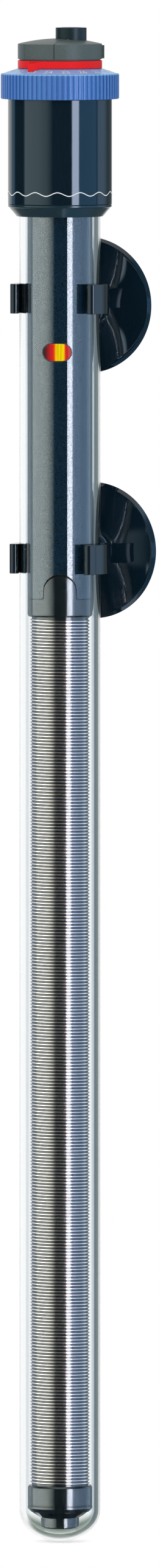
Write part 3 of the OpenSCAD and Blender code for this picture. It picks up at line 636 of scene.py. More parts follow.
def rib_loop(r_land, r_root, z):
    """One turn of the ribbed skirt at a height: lands with rounded shoulders and sloped grooves."""
    shape = ((-0.30, 0.0), (-0.26, 0.85), (-0.2, 1.0), (0.0, 1.04), (0.2, 1.0), (0.26, 0.85), (0.30, 0.0),
             (0.5, -0.05))
    loop = []
    for i in range(RIBS):
        for place, share in shape:
            a = TAU * (i + place) / RIBS
            r = r_root + (r_land - r_root) * share
            loop.append((r * math.cos(a), r * math.sin(a), z))
    return loop


def temperature_knob():
    """Ribbed skirt, conical dial and the bore for the hub."""
    land, root = KNOB_R - 0.02, KNOB_R - RIB_DEPTH - 0.02
    cavity_r, mouth_r = 13.3, 14.6
    top = SKIRT_TOP_Z
    ribbed = [
        (land - 0.2, root - 0.1, KNOB_Z), (land, root, KNOB_Z + 0.25), (land, root, top - 0.35),
        (land - 0.1, root, top - 0.1), (land - 0.3, root + 0.02, top + 0.02)]
    plain = [
        (DIAL_EDGE_R, top + 0.06), (DIAL_EDGE_R - 0.3, dial_z(DIAL_EDGE_R - 0.3)), (CAP_R, DIAL_TOP_Z),
        (HUB_BORE_R, DIAL_TOP_Z), (HUB_BORE_R, WEB_Z), (cavity_r, WEB_Z), (cavity_r, KNOB_Z + 1.5),
        (mouth_r, KNOB_Z + 1.3), (mouth_r, KNOB_Z)]
    return loft([rib_loop(*row) for row in ribbed] + [rib_loop(r, r, z) for r, z in plain], closed=True)


def ring_gear():
    """Internal gear of the knob, as a ring inside its cavity."""
    pitch_r = GEAR_MODULE * KNOB_TEETH / 2
    tip_r, root_r, back_r = pitch_r - 0.9 * GEAR_MODULE, pitch_r + 1.2 * GEAR_MODULE, 13.4
    z1 = WEB_Z - 1.75
    z0 = z1 - 4.0

    def half_tooth(past):
        return math.pi * GEAR_MODULE / 4 - GEAR_PLAY / 4 - past * math.tan(PRESSURE_ANGLE)

    inner, outer = [], []
    for i in range(KNOB_TEETH):
        a = math.pi + math.pi / KNOB_TEETH + TAU * i / KNOB_TEETH
        w_tip, w_root = half_tooth(pitch_r - tip_r), half_tooth(pitch_r - root_r)
        for r, w in ((root_r, -w_root), (tip_r, -w_tip), (tip_r, w_tip), (root_r, w_root)):
            inner.append((r * math.cos(a) - w * math.sin(a), r * math.sin(a) + w * math.cos(a)))
    for x, y in inner:
        reach = back_r / math.hypot(x, y)
        outer.append((x * reach, y * reach))
    loops = [[(x, y, z) for x, y in line] for line, z in ((inner, z0), (inner, z1), (outer, z1), (outer, z0))]
    return loft(loops, closed=True)


def on_dial(u, v, angle, lift=0.035):
    """A flat point (across, up the slope) placed on the dial's cone at an angle from the front."""
    label_r = 15.05
    slope = math.atan2(DIAL_RISE, DIAL_EDGE_R - CAP_R)
    r = label_r - v * math.cos(slope)
    a = math.radians(angle) + u / label_r
    return (r * math.sin(a), -r * math.cos(a), dial_z(r) + lift)


def digit_shape(text):
    """Flat mesh of a number, centred, in mm."""
    narrow = 0.93
    curve = bpy.data.curves.new("number", "FONT")
    curve.body, curve.size, curve.space_character, curve.resolution_u = text, 2.9, 1.06, 4
    curve.align_x, curve.align_y = "CENTER", "CENTER"
    holder = linked("number", curve)
    bpy.context.view_layer.update()
    mesh = bpy.data.meshes.new_from_object(holder.evaluated_get(bpy.context.evaluated_depsgraph_get()))
    shape = [(v.co.x * narrow, v.co.y, 0) for v in mesh.vertices], [list(p.vertices) for p in mesh.polygons]
    bpy.data.objects.remove(holder)
    bpy.data.meshes.remove(mesh)
    return shape


def dial_print():
    """Numbers 18 to 34 with a tick each, 20 degrees apart, 25 a little right of the front."""
    first, last, step, shown, shown_at = 18, 34, 20.0, 25, 6.6
    tick_w, tick_low, tick_high = 0.09, 1.75, 2.35
    parts = []
    for number in range(first, last + 1):
        angle = shown_at + step * (number - shown)
        flat, faces = digit_shape(str(number))
        parts.append(([on_dial(x, y, angle) for x, y, _ in flat], faces))
        tick = [(-tick_w, tick_low), (tick_w, tick_low), (tick_w, tick_high), (-tick_w, tick_high)]
        parts.append(([on_dial(x, y, angle) for x, y in tick], [[0, 1, 2, 3]]))
    return joined(*parts)


def calibration_ring():
    """Red ring with the wedge that points at the dial."""
    turn, spread, tip_half, reach, drop = -37.0, 11.4, 0.65, 14.9, 0.9

    def top_z(r):
        return RING_TOP_Z - 0.01 - drop * max(r - CAP_R, 0) / (reach - CAP_R)

    ring = lathe(rounded([
        (HUB_BORE_R, RING_Z, 0), (CAP_R, RING_Z, 0.12), (CAP_R, RING_TOP_Z, 0.12),
        (HUB_BORE_R, RING_TOP_Z, 0)]), steps=192)
    root_x, root_y = CAP_R * math.sin(math.radians(spread)), CAP_R * math.cos(math.radians(spread)) - 0.6
    outline = rounded([
        (-root_x, -root_y, 0), (-tip_half, -reach, 0.18), (tip_half, -reach, 0.18), (root_x, -root_y, 0)],
        steps=3)
    loops = []
    for x_in, z_of in ((0.0, lambda r: dial_z(r) + 0.12), (0.0, lambda r: top_z(r) - 0.12), (0.12, top_z)):
        loops.append([(x, y, z_of(math.hypot(x, y))) for x, y in shrunk(outline, x_in)])
    return joined(ring, moved(loft(loops), turn=turn))


def top_cap():
    """Domed cap with a shadow gap under its side, and apart from it the side tab and the hub."""
    rim = 0.35
    steps = 16
    bend = arc(CAP_R - rim, CAP_SIDE_Z - rim, rim, 0, 72, 5)
    start_r, start_z = bend[-1]
    dome = []
    for i in range(1, steps + 1):
        r = start_r * (1 - i / steps)
        dome.append((r, start_z + (DOME_Z - start_z) * (1 - (r / start_r) ** 2)))
    foot, foot_in = 0.3, 0.45
    profile = [(0, CAP_Z)] + rounded([
        (0, CAP_Z, 0), (CAP_R - foot_in, CAP_Z, 0), (CAP_R - foot_in, CAP_Z + foot, 0),
        (CAP_R, CAP_Z + foot, 0.1), (CAP_R, CAP_SIDE_Z - 2, 0)], closed=False)[1:] + bend + dome
    tab = block(CAP_R - 0.6, CAP_R + 0.68, -1.5, 1.5, CAP_Z + 0.5, CAP_SIDE_Z - 0.5, 0.15)
    bore_r = STEM_R + GLAND_OFFSET + 0.05
    hub = lathe([(bore_r, CAP_Z), (bore_r, WEB_Z), (HUB_R, WEB_Z), (HUB_R, CAP_Z)], steps=96)
    return lathe(profile, steps=256, closed=False), joined(tab, hub)


def side_cut(x, width, deep, top_z):
    """Upright slot in the cap's side, x to the right of the front."""
    return block(x - width / 2, x + width / 2, -CAP_R - 1, -CAP_R + deep, CAP_Z - 1, top_z, 0.01)


def cap_cuts():
    """Gland bore, the side slot, the groove that runs from it over the dome, and a fine seam."""
    slot_x, groove_w, groove_l, seam_turn = -1.75, 0.2, 8.2, -57.0
    bore_r = GLAND_R + 0.01
    bore = moved(lathe([(0, CAP_Z - 1), (bore_r, CAP_Z - 1), (bore_r, DOME_Z + 1), (0, DOME_Z + 1)], steps=96,
                       closed=False), (GLAND_OFFSET, 0, 0))
    groove = block(-groove_w / 2, groove_w / 2, 0, groove_l, -0.1, 2, 0.01)
    place = (Matrix.Translation((slot_x, -CAP_R + 0.5, CAP_SIDE_Z - 0.02))
             @ Matrix.Rotation(math.radians(-24), 4, "Z") @ Matrix.Rotation(math.radians(8), 4, "X"))
    return [bore, side_cut(slot_x, 0.45, 0.4, DOME_Z + 1), moved(groove, matrix=place),
            moved(side_cut(0, 0.12, 0.07, CAP_SIDE_Z), turn=seam_turn)]


def cap_stud():
    """Small raised dot at the end of the dome's groove."""
    dot_r, dot_h, x, y = 0.32, 0.3, 2.45, -5.4
    z = CAP_SIDE_Z + DOME_RISE * (1 - (x * x + y * y) / CAP_R ** 2) - 0.1
    profile = rounded([(0, 0, 0), (dot_r, 0, 0), (dot_r, dot_h, 0.12), (0, dot_h, 0)], closed=False)
    return moved(lathe(profile, steps=32, closed=False), (x, y, z))


def cable_gland():
    """Rubber gland with its cable bore and a soft top edge."""
    return moved(lathe(rounded([
        (CABLE_R, GLAND_BOTTOM_Z, 0), (GLAND_R, GLAND_BOTTOM_Z, 0), (GLAND_R, GLAND_TOP_Z, 0.15),
        (CABLE_R, GLAND_TOP_Z, 0.15)]), steps=96), (GLAND_OFFSET, 0, 0))


# ---------------------------------------------------------------- inside the glass

WINDOW_TURN = -5.0
WINDOW_W, WINDOW_H = 8.5, 5.6
WINDOW_Z = centre("window_lens").z


def window_outline(grow, steps=10):
    """Stadium of the indicator window, in degrees and z."""
    half, cap = (WINDOW_W - WINDOW_H) / 2, WINDOW_H / 2 + grow
    flat = arc(half, 0, cap, -90, 90, steps) + arc(-half, 0, cap, 90, 270, steps)
    return [(WINDOW_TURN + math.degrees(math.asin(x / SLEEVE_R)), WINDOW_Z + z) for x, z in flat]


TONGUE_W, TONGUE_H = 9.1, 7.2


def tongue_arch(grow, z0, flare=0.0):
    """The tongue's arch from right to left, in degrees and z, with small flares at its foot."""
    half = TONGUE_W / 2 + grow
    top = z0 + TONGUE_H + grow - half
    flat = arc(0, top, half, 0, 180, 18)
    foot = [(half, z0 + flare)] + flat + [(-half, z0 + flare)]
    if flare:
        foot = (arc(half + flare, z0 + flare, flare, 270, 180, 4) + flat
                + arc(-half - flare, z0 + flare, flare, 0, -90, 4))
    return [(math.degrees(math.asin(x / SLEEVE_R)), z) for x, z in foot]


def plate_grid(z0, z1, step_z, step_a=3):
    """Inner points that keep a wrapped plate round."""
    rows, columns = max(int((z1 - z0) / step_z), 1), 360 // step_a
    return [(-180 + step_a * i, z0 + (z1 - z0) * k / rows)
            for i in range(columns + 1) for k in range(rows + 1)]


def thermostat_sleeve():
    """Dark sleeve with the window's opening and the tongue's arch."""
    z0, gap = SLEEVE_Z + 0.1, 0.5
    round_turn = range(-180, 181, 3)
    arch = tongue_arch(0.16, z0, flare=0.7)
    left, right = arch[-1][0] - gap, arch[0][0] + gap
    bottom = ([(a, z0) for a in round_turn if a < left] + arch[::-1]
              + [(a, z0) for a in round_turn if a > right])
    outline = bottom + [(a, SLEEVE_TOP_Z) for a in reversed(round_turn)]
    grid = plate_grid(z0 + 2, SLEEVE_TOP_Z - 2, 12)
    return wrapped(outline, [window_outline(0)], SLEEVE_R, SLEEVE_BORE_R, grid)


def window_lens():
    """Red lens, flush in the sleeve."""
    span = math.degrees((WINDOW_W / 2 + 1) / SLEEVE_R)
    grid = [(WINDOW_TURN - span + i * span / 10, WINDOW_Z - 3 + k) for i in range(21) for k in range(7)]
    return wrapped(window_outline(-0.3), [], SLEEVE_R - 0.02, SLEEVE_BORE_R, grid)


def window_gasket():
    """Thin black seal between the lens and the sleeve."""
    return wrapped(window_outline(-0.02), [window_outline(-0.28)], SLEEVE_R - 0.01, SLEEVE_BORE_R, [])


def upper_cap():
    """Band above the winding, the plug inside the sleeve and the tongue."""
    plug_r = SLEEVE_BORE_R - 0.05
    band = lathe(rounded([
        (0, WINDING_TOP_Z, 0), (SLEEVE_R, WINDING_TOP_Z, 0.8), (SLEEVE_R, SLEEVE_Z, 0.12),
        (plug_r, SLEEVE_Z, 0), (plug_r, SLEEVE_Z + 3.8, 0.3), (0, SLEEVE_Z + 3.8, 0)],
        closed=False), steps=192, closed=False)
    arch = tongue_arch(0, SLEEVE_Z - 0.3)
    grid = plate_grid(SLEEVE_Z - 0.3, SLEEVE_Z + TONGUE_H, 2)
    tongue, _ = wrapped(arch, [], SLEEVE_R, SLEEVE_BORE_R - 0.8, grid)
    return joined(band, tongue)


def lower_cap():
    """Band under the winding, its chamfered flange, the gussets and the foot."""
    r, seam_z, cone_z = SLEEVE_R - 0.05, EDGE_Z + 2.1, EDGE_Z - 1.85
    flange_r, gussets, gusset_t, gusset_turn = r - 0.95, 8, 1.5, 0.35
    body = lathe(rounded([
        (0, WINDING_Z, 0), (r - 0.4, WINDING_Z, 0.2), (r, WINDING_Z - 0.6, 0.2), (r, seam_z, 0.1),
        (r - 0.16, seam_z - 0.1, 0), (r - 0.16, seam_z - 0.25, 0), (r + 0.05, seam_z - 0.35, 0.05),
        (r + 0.05, EDGE_Z + 1.1, 0.15), (flange_r, EDGE_Z, 0.2), (FOOT_R + 1.0, EDGE_Z, 0.2),
        (FOOT_R, cone_z, 0.1), (FOOT_R, FOOT_Z, 0.35), (0, FOOT_Z, 0)], closed=False), steps=192, closed=False)
    rib = [(FOOT_R - 1, EDGE_Z + 0.3), (FOOT_R - 1, cone_z), (FOOT_R + 0.3, cone_z),
           (flange_r - 1.4, EDGE_Z - 1.05), (flange_r - 0.1, EDGE_Z - 0.02), (flange_r - 0.1, EDGE_Z + 0.3)]
    shapes = [body]
    for i in range(gussets):
        plate = loft([[(x, s * gusset_t / 2, z) for x, z in rib] for s in (-1, 1)])
        shapes.append(moved(plate, turn=360 * (i + gusset_turn) / gussets))
    return joined(*shapes)


# Winding: a fine helix round a ceramic former
WIRE_D = 0.46
WIRE_PITCH = 0.955
COIL_R = WINDING_R - WIRE_D / 2 - 0.02


def winding():
    """Bare resistance wire as one helix between the end caps."""
    per_turn, sides = 40, 6
    margin = 0.1 + WIRE_D / 2
    height = WINDING_TOP_Z - WINDING_Z - 2 * margin
    count = int(height / WIRE_PITCH * per_turn)
    pitch = height / (count / per_turn)
    loops = []
    slant = math.atan2(pitch, TAU * COIL_R)
    for i in range(count + 1):
        a = TAU * i / per_turn
        z = WINDING_TOP_Z - margin - height * i / count
        loop = []
        for k in range(sides):
            w = TAU * k / sides
            out, up = WIRE_D / 2 * math.cos(w), WIRE_D / 2 * math.sin(w)
            side = up * math.sin(slant)
            loop.append(((COIL_R + out) * math.cos(a) - side * math.sin(a),
                         (COIL_R + out) * math.sin(a) + side * math.cos(a), z + up * math.cos(slant)))
        loops.append(loop)
    return loft(loops)


def former():
    """Plain ceramic tube that shows between the turns."""
    r, bore_r = COIL_R - WIRE_D / 2 + 0.02, 3.6
    return lathe(rounded([
        (bore_r, WINDING_Z, 0.3), (r, WINDING_Z, 0), (r, WINDING_TOP_Z, 0), (bore_r, WINDING_TOP_Z, 0.3)]),
        steps=192)


# ---------------------------------------------------------------- clips and cups

CLIP_R = TUBE_R + 0.1
CLIP_T = 2.5
CLIP_H = 8.8
LIP_R = 1.45
LIP_MID_R = CLIP_R + 0.1 + LIP_R
CLIP_OPEN = 62.0
SOCKET_R = 6.0
SOCKET_Y = CLIP_R + 5.1
STUD_R = 2.5
CUP_R = radius("upper_cup")
CUP_FACE_Y = -TIP.y / MM
CUP_BACK_Y = SOCKET_Y + 0.1
TO_BACK = Matrix.Rotation(math.radians(-90), 4, "X")


def clip_outline():
    """C of the clip from above, opening to the front, with a rounded lip at each end."""
    start = -90 + CLIP_OPEN
    lip_x, lip_y = LIP_MID_R * math.cos(math.radians(start)), LIP_MID_R * math.sin(math.radians(start))
    outer = arc(0, 0, CLIP_R + CLIP_T, start + 4, 176 - start, 60)
    left_lip = arc(-lip_x, lip_y, LIP_R, 180 - start + 20, 360 - start + 10, 12)
    inner = arc(0, 0, CLIP_R, 176 - start - 2, start + 6, 60)
    right_lip = arc(lip_x, lip_y, LIP_R, 180 + start - 10, 360 + start - 20, 12)
    return outer + left_lip + inner + right_lip


def clip(socket_z):
    """Clip round the tube with the socket boss that takes a cup's stud."""
    band = slab(clip_outline(), -CLIP_H / 2, CLIP_H / 2, edge=0.14, steps=3)
    bore = STUD_R + 0.05
    boss = lathe(rounded([
        (bore, CLIP_R + 0.9, 0), (SOCKET_R, CLIP_R + 0.9, 0), (SOCKET_R, SOCKET_Y, 0.4),
        (bore, SOCKET_Y, 0.15)]), steps=72)
    return joined(band, moved(boss, matrix=Matrix.Translation((0, 0, socket_z)) @ TO_BACK))


def cup():
    """Suction cup: stud, hub, filleted back, raised outer band, rim face and hollow."""
    hub_r, fillet, band_w, hollow_deep, edge_t = 5.5, 3.0, 1.05, 3.6, 1.0
    back_y = CUP_FACE_Y - edge_t
    hub_top = CUP_FACE_Y - hollow_deep - fillet
    shoulder = SOCKET_Y - 2.7
    head_r, head_t = 3.7, 1.4
    flare = arc(hub_r + fillet, hub_top, fillet, 180, 96, 8)
    band_r = CUP_R - band_w
    start_r, start_y = flare[-1]
    # slope of the back: steep at the hub, least at its middle, steeper again at the rim
    steps = 24
    slopes = [0.255 - 0.15 * u + 0.19 * u * u for u in ((i + 0.5) / steps for i in range(steps))]
    rate = (back_y - start_y) / (sum(slopes) / steps * (band_r - start_r))
    back, y = [], start_y
    for i, slope in enumerate(slopes[:-1], 1):
        y += slope * rate * (band_r - start_r) / steps
        back.append((start_r + (band_r - start_r) * i / steps, y))
    rim = rounded([back[-1] + (0,), (band_r, back_y, 0.06), (band_r + 0.1, back_y - 0.15, 0.05),
                   (CUP_R - 0.05, CUP_FACE_Y - 0.2, 0.12), (CUP_R, CUP_FACE_Y, 0.1),
                   (CUP_R - 1, CUP_FACE_Y, 0.15), (CUP_R - 1.6, CUP_FACE_Y - 0.35, 0)],
                  steps=3, closed=False)[1:-1]
    hollow = [((CUP_R - 1) * (1 - u), CUP_FACE_Y - hollow_deep * math.sin(math.pi / 2 * u))
              for u in (i / 20 for i in range(1, 21))]
    stud = rounded([
        (0, shoulder - head_t, 0), (head_r, shoulder - head_t, 0.5), (head_r, shoulder, 0.1),
        (STUD_R, shoulder, 0), (STUD_R, CUP_BACK_Y, 0), (hub_r, CUP_BACK_Y, 0.3), (hub_r, hub_top, 0)],
        closed=False)
    return moved(lathe(stud + flare + back + rim + hollow, steps=160, closed=False), matrix=TO_BACK)


# ---------------------------------------------------------------- make the object

piece("tube_glass", glass_tube(), "heater", "glass", ["glass_tube"], sharp=60, flats=False)
piece("collar", collar_ring(), "heater", "collar_plastic", ["collar_ring"])
piece("housing", control_housing(), "heater", "housing_plastic", ["control_housing"])
piece("level_mark", water_line(), "heater", "housing_plastic", finish="white_print")

knob = piece("knob_body", joined(temperature_knob(), ring_gear()), "knob", "knob_plastic",
             ["temperature_knob"], sharp=40)
for name in ("knob_rim_painted_highlight", "dial_painted_light"):
    knob.data.materials.append(FINISH[name])
for polygon in knob.data.polygons:
    x, y, z = (polygon.center - TIP) / MM
    r = math.hypot(x, y)
    # faces of the skirt's top edge get the lighter cyan of a painted highlight
    if SKIRT_TOP_Z - 0.3 < z < SKIRT_TOP_Z + 0.2 and r > DIAL_EDGE_R - 0.1:
        polygon.material_index = 1
    # faces of the dial's cone get the lighter blue of painted light from above
    elif z > SKIRT_TOP_Z and r > CAP_R - 0.1:
        polygon.material_index = 2
piece("dial_numbers", dial_print(), "knob", "knob_plastic", finish="white_print")
piece("pointer_ring", calibration_ring(), "pointer", "pointer_plastic", ["calibration_ring"])

cap_shape, hub_shape = top_cap()
cap = piece("cap", cap_shape, "heater", "cap_plastic", ["top_cap"])
for cutter_shape in cap_cuts():
    cut(cap, cutter_shape)
piece("cap_hub", joined(hub_shape, cap_stud()), "heater", "cap_plastic")
piece("gland", cable_gland(), "heater", "gland_rubber", ["cable_gland"])

lens_angle = HEAD_TURN + math.radians(WINDOW_TURN)
# The lens glows by a painted emission ramp, not by light from the lamp behind it
FINISH["lens_red"] = lens_finish(
    TIP + MM * Vector((SLEEVE_R * math.sin(lens_angle), -SLEEVE_R * math.cos(lens_angle), WINDOW_Z)),
    Vector((math.cos(lens_angle), math.sin(lens_angle), 0)))
for name, (shape, normals), slot, nodes in (
        ("sleeve", thermostat_sleeve(), "sleeve_plastic", ["thermostat_sleeve"]),
        ("lens", window_lens(), "lens_red", ["window_lens"]),
        ("lens_gasket", window_gasket(), "black_rubber", [])):
    piece(name, shape, "heater", slot, nodes, normals=normals)
piece("upper_end_cap", upper_cap(), "heater", "end_cap_plastic", ["former_upper_cap"])
piece("lower_end_cap", lower_cap(), "heater", "end_cap_plastic", ["former_lower_cap"])
piece("former", former(), "heater", "ceramic", ["coil_former"])
piece("winding", winding(), "heater", "heating_wire", ["heating_coil"], sharp=80, flats=False)

for name, socket, turn in (("upper", -2.8, 0.0), ("lower", 1.4, -5.0)):
    cup_z = centre(name + "_cup").z
    piece(name + "_clip_band", moved(clip(socket), (0, 0, cup_z - socket), turn), "clip_" + name,
          "clip_plastic", [name + "_clip"], head=False)
    piece(name + "_suction_cup", moved(cup(), (0, 0, cup_z), turn), "cup_" + name, "cup_rubber",
          [name + "_cup"], head=False)

# CAD nodes that stay as they are, each with its finish
KEPT = {
    "black_rubber": ("tube_seal", "spindle_seal"),
    "steel": ("knob_retainer", "contact_arm", "snap_magnet"),
    "brass": ("adjusting_spindle", "lead_terminals"),
    "white_nylon": ("set_carriage",),
    "frame_plastic": ("thermostat_frame",),
    "neon_glass": ("neon_lamp",),
    "component_body": ("lamp_resistor",),
    "capacitor_body": ("capacitor",),
    "bimetal": ("bimetal_strip",),
    "wire_insulation": ("supply_leads",),
    "heating_wire": ("element_leads",),
    "clear_silicone": ("bottom_support",),
}
for finish_name, node_names in KEPT.items():
    for node_name in node_names:
        for material_slot in frame["nodes"][node_name].material_slots:
            material_slot.material = FINISH[finish_name]

# ---------------------------------------------------------------- floor, light and camera


def floor():
    """Pale floor under the tube, which fades into the white background."""
    size, steps, drop = 0.16, 96, 0.0002
    fade_from, fade_to = 0.004, 0.026
    spot = TIP - Vector((0, 0, drop))
    rim = [spot + Matrix.Rotation(TAU * i / steps, 3, "Z") @ Vector((size, 0, 0)) for i in range(steps)]
    mesh = bpy.data.meshes.new("floor")
    mesh.from_pydata(rim, [], [list(range(steps))])
    material, graph, shader = shader_material("floor")
    coords = graph.node("TexCoord").outputs["Object"]
    away = graph.node("VectorMath", {0: coords, 1: spot}, operation="DISTANCE").outputs["Value"]
    seen = graph.node("LightPath").outputs["Is Camera Ray"]
    graph.feed(shader, {
        "Base Color": (0.98, 0.98, 0.98, 1), "Roughness": 0.9, "Specular IOR Level": 0,
        "Alpha": graph.scaled(away, 1, 0, fade_from, fade_to, "SMOOTHSTEP"),
        "Emission Color": (1, 1, 1, 1), "Emission Strength": graph.scaled(seen, 0, 0.5)})
    mesh.materials.append(material)
    ground = linked("floor", mesh)
    ground.visible_glossy = ground.visible_transmission = False


# Level of the world's light, and of the tent as matt surfaces inside the glass see it
AMBIENT = 0.72
INSIDE = 1.1

# Tent of soft boxes: what glossy surfaces mirror, as stops of (degrees from the head's front, colour).
# The lists are for level rays off bare surfaces, for level rays off what is behind the glass, and for
# steep rays off bare surfaces, which find the boxes' dark surroundings and a thin lamp
TENT_SIZE = 4.0
TENT_PEAK = 14.0
DARK = (0.02, 0.03, 0.035)
SHADE = (0.15, 0.19, 0.2)
WHITE = (1.0, 1.0, 1.0)
TENT = [
    (-180, WHITE), (-137, WHITE), (-134, (0.3, 0.6, 0.85)), (-122, (0.26, 0.52, 0.75)), (-117, DARK),
    (-88, DARK), (-83, (1.15, 1.5, 1.6)), (-50, (1.1, 1.45, 1.5)), (-30, (0.75, 1.0, 1.05)),
    (-22, (0.35, 0.5, 0.55)), (-16, DARK), (26.4, DARK), (27.4, (7.2, 8.5, 11.3)), (42, (7.2, 8.5, 11.3)),
    (43, (0.35, 0.85, 1.5)), (86, (0.35, 0.85, 1.5)), (90, (0.1, 0.4, 0.8)), (95, (0.8, 1.2, 1.7)),
    (112, (0.6, 0.9, 1.3)), (131, SHADE), (162, SHADE), (168, WHITE),
]
TENT_BEHIND = [
    (-180, WHITE), (-170, WHITE), (-165, (0.5, 0.55, 0.65)), (-146, (0.33, 0.4, 0.52)),
    (-134, (0.45, 0.55, 0.7)), (-122, (0.95, 1.15, 1.25)), (-107, (0.85, 1.0, 1.08)),
    (-101, (2.4, 2.65, 2.65)), (-84, (2.65, 2.9, 2.85)), (-62, (2.9, 3.2, 3.1)), (-45, (2.45, 2.65, 2.45)),
    (-35, (1.6, 1.8, 1.7)), (-24, (0.6, 0.7, 0.68)), (-18.5, DARK), (24.8, DARK), (25.6, (9.4, 9.8, 11.2)),
    (42, (9.4, 9.8, 11.2)), (44, (1.25, 1.7, 2.45)), (60, (1.1, 1.55, 2.3)), (75, (0.87, 1.24, 1.84)),
    (98, (0.68, 0.98, 1.45)), (109, (0.9, 1.25, 1.75)), (121, (0.9, 1.2, 1.45)), (126, (0.35, 0.45, 0.55)),
    (162, SHADE), (168, WHITE),
]
TENT_STEEP = [
    (-180, WHITE), (-158, WHITE), (-146, SHADE), (-60, (0.05, 0.08, 0.1)), (-18.2, (0.01, 0.02, 0.03)),
    (-17.8, (2.0, 2.6, 3.1)), (-16.8, (2.0, 2.6, 3.1)), (-16.4, (0.01, 0.02, 0.03)), (24, DARK),
    (27, (1.2, 1.6, 2.1)), (42, (1.2, 1.6, 2.1)), (44, (0.16, 0.36, 0.6)), (112, (0.16, 0.36, 0.6)),
    (131, SHADE), (158, SHADE), (166, WHITE),
]
# What the glass wall itself mirrors, as it turns rays back at the bore
TENT_WALL = [
    (-180, WHITE), (-128, WHITE), (-112, (0.45, 0.5, 0.48)), (-80, (0.3, 0.34, 0.33)),
    (80, (0.3, 0.34, 0.33)), (112, SHADE), (160, SHADE), (166, WHITE),
]
# What shows straight through the glass: the white background, and a darker room beside it
THROUGH = [
    (-180, WHITE), (-166, WHITE), (-158, (0.76, 0.78, 0.82)), (-140, (0.7, 0.72, 0.75)),
    (-112, (0.22, 0.27, 0.25)), (112, (0.22, 0.27, 0.25)), (140, (0.5, 0.54, 0.6)), (158, (0.6, 0.63, 0.7)),
    (166, WHITE),
]


def dim(color):
    """A tent colour as a share of the tent's peak."""
    return tuple(c / TENT_PEAK for c in color)


def tent():
    """Sphere round the object that only reflections see."""
    size, lift, steps, rings = TENT_SIZE, 0.22, 64, 32
    arcs = [math.pi * k / rings for k in range(rings + 1)]
    profile = [(size * math.sin(a), -size * math.cos(a)) for a in arcs]
    profile[-1] = (0, size)
    verts, faces = lathe(profile, steps=steps, closed=False)
    mesh = bpy.data.meshes.new("tent")
    mesh.from_pydata(verts, [], faces)
    sphere = linked("tent", mesh)
    sphere.location = TIP + Vector((0, 0, lift))
    sphere.rotation_euler = (0, 0, HEAD_TURN)
    material, graph, _ = shader_material("tent")
    material.cycles.emission_sampling = "NONE"
    graph.nodes.clear()
    place = graph.node("SeparateXYZ", {0: graph.node("TexCoord").outputs["Object"]}).outputs
    azimuth = graph.math("ARCTAN2", place["X"], graph.math("MULTIPLY", place["Y"], -1))
    turn = graph.scaled(azimuth, 0, 1, -math.pi, math.pi)
    height, level = place["Z"], graph.math("ABSOLUTE", place["Z"])
    path = graph.node("LightPath").outputs
    behind = path["Transmission Depth"]

    def by_angle(stops):
        """Ramp round the tent through stops (degrees from the front, colour)."""
        return graph.ramp(turn, [((angle + 180) / 360, dim(color)) for angle, color in stops])

    def over(value, limit, under_color, over_color):
        """The first colour where a value is under a limit, else the second."""
        return graph.mix(graph.math("GREATER_THAN", value, limit), under_color, over_color)

    def fading(value, start, stop, near, far):
        """A colour that turns into another between two heights, in shares of the tent's size."""
        return graph.mix(graph.scaled(value, 0, 1, start * size, stop * size, "SMOOTHSTEP"), near, far)

    bare = fading(level, 0.11, 0.19, by_angle(TENT), by_angle(TENT_STEEP))
    wall = fading(level, 0.3, 0.65, by_angle(TENT_WALL), dim((0.2, 0.25, 0.22)))
    covered = fading(level, 0.3, 0.65, by_angle(TENT_BEHIND), dim(DARK))
    boxes = over(behind, 2.5, over(behind, 0.5, bare, wall), covered)
    boxes = fading(height, 0.75, 0.9, boxes, dim((1.2, 1.3, 1.35)))
    open_view = fading(level, 0.3, 0.55, by_angle(THROUGH), dim((0.3, 0.36, 0.34)))
    open_view = fading(height, -0.165, -0.34, open_view, dim((0.2, 0.25, 0.21)))
    seen = over(path["Glossy Depth"], 0.5, open_view, boxes)
    seen = over(path["Diffuse Depth"], 0.5, seen, dim((INSIDE, INSIDE, INSIDE)))
    emission = graph.node("Emission", {"Color": seen, "Strength": TENT_PEAK})
    graph.node("OutputMaterial", {"Surface": emission.outputs[0]})
    mesh.materials.append(material)
    for ray in ("camera", "diffuse", "shadow", "volume_scatter"):
        setattr(sphere, "visible_" + ray, False)


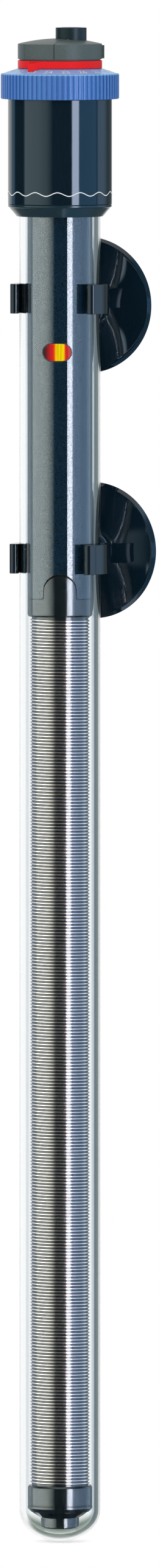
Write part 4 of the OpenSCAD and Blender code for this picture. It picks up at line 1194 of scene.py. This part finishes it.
def world():
    """Plain soft light, and a white background for camera, glossy and transmission rays."""
    backdrop = bpy.data.worlds.new("studio")
    bpy.context.scene.world = backdrop
    graph = Graph(backdrop)
    graph.nodes.clear()
    path = graph.node("LightPath").outputs
    seen = path["Is Camera Ray"]
    for ray in ("Is Glossy Ray", "Is Transmission Ray"):
        seen = graph.math("MAXIMUM", seen, path[ray])
    strength = graph.scaled(seen, AMBIENT, 1.0)
    background = graph.node("Background", {"Color": (1, 1, 1, 1), "Strength": strength})
    graph.node("OutputWorld", {"Surface": background.outputs[0]})


def from_front(azimuth, distance, rise):
    """A point at an angle from the head's front and a height above the tube's middle, in metres."""
    a, middle = HEAD_TURN + math.radians(azimuth), 0.225
    return TIP + Vector((distance * math.sin(a), -distance * math.cos(a), middle + rise))


def soft_box(name, azimuth, distance, rise, size, power):
    """Area light aimed at the middle of the tube, which reflections don't see."""
    light = bpy.data.lights.new(name, "AREA")
    light.shape, light.size, light.energy = "DISK", size, power
    lamp = linked(name, light)
    lamp.location = from_front(azimuth, distance, rise)
    aim = from_front(0, 0, 0) - lamp.location
    lamp.rotation_euler = aim.to_track_quat("-Z", "Y").to_euler()
    lamp.visible_glossy = lamp.visible_transmission = False


def camera():
    """Narrow view from a little above the tube's middle, framed for a picture of 261 by 2576, through a short
    lens on a small sensor. The other views set their distance by the lens, so it is a short one on a small
    sensor.
    """
    distance, rise = 7.2, 0.4092
    frame_h, lens = 0.46611, 75.0
    aim_z, aim_side = 0.22576, 0.0058
    data = bpy.data.cameras.new("camera")
    data.sensor_fit = "VERTICAL"
    data.lens = lens
    data.sensor_height = lens * frame_h / math.hypot(distance, rise)
    data.clip_end = 60
    eye = linked("camera", data)
    side = Vector((math.cos(HEAD_TURN), math.sin(HEAD_TURN), 0)) * aim_side
    target = TIP + Vector((0, 0, aim_z)) + side
    eye.location = target + Vector((distance * math.sin(HEAD_TURN), -distance * math.cos(HEAD_TURN), rise))
    eye.rotation_euler = (target - eye.location).to_track_quat("-Z", "Y").to_euler()
    bpy.context.scene.camera = eye


floor()
tent()
world()
soft_box("key", -35, 2.2, 0.8, 1.2, 14)
soft_box("fill", 50, 2.4, 0.4, 1.0, 9)
camera()

bpy.context.scene.view_settings.view_transform = "Standard"
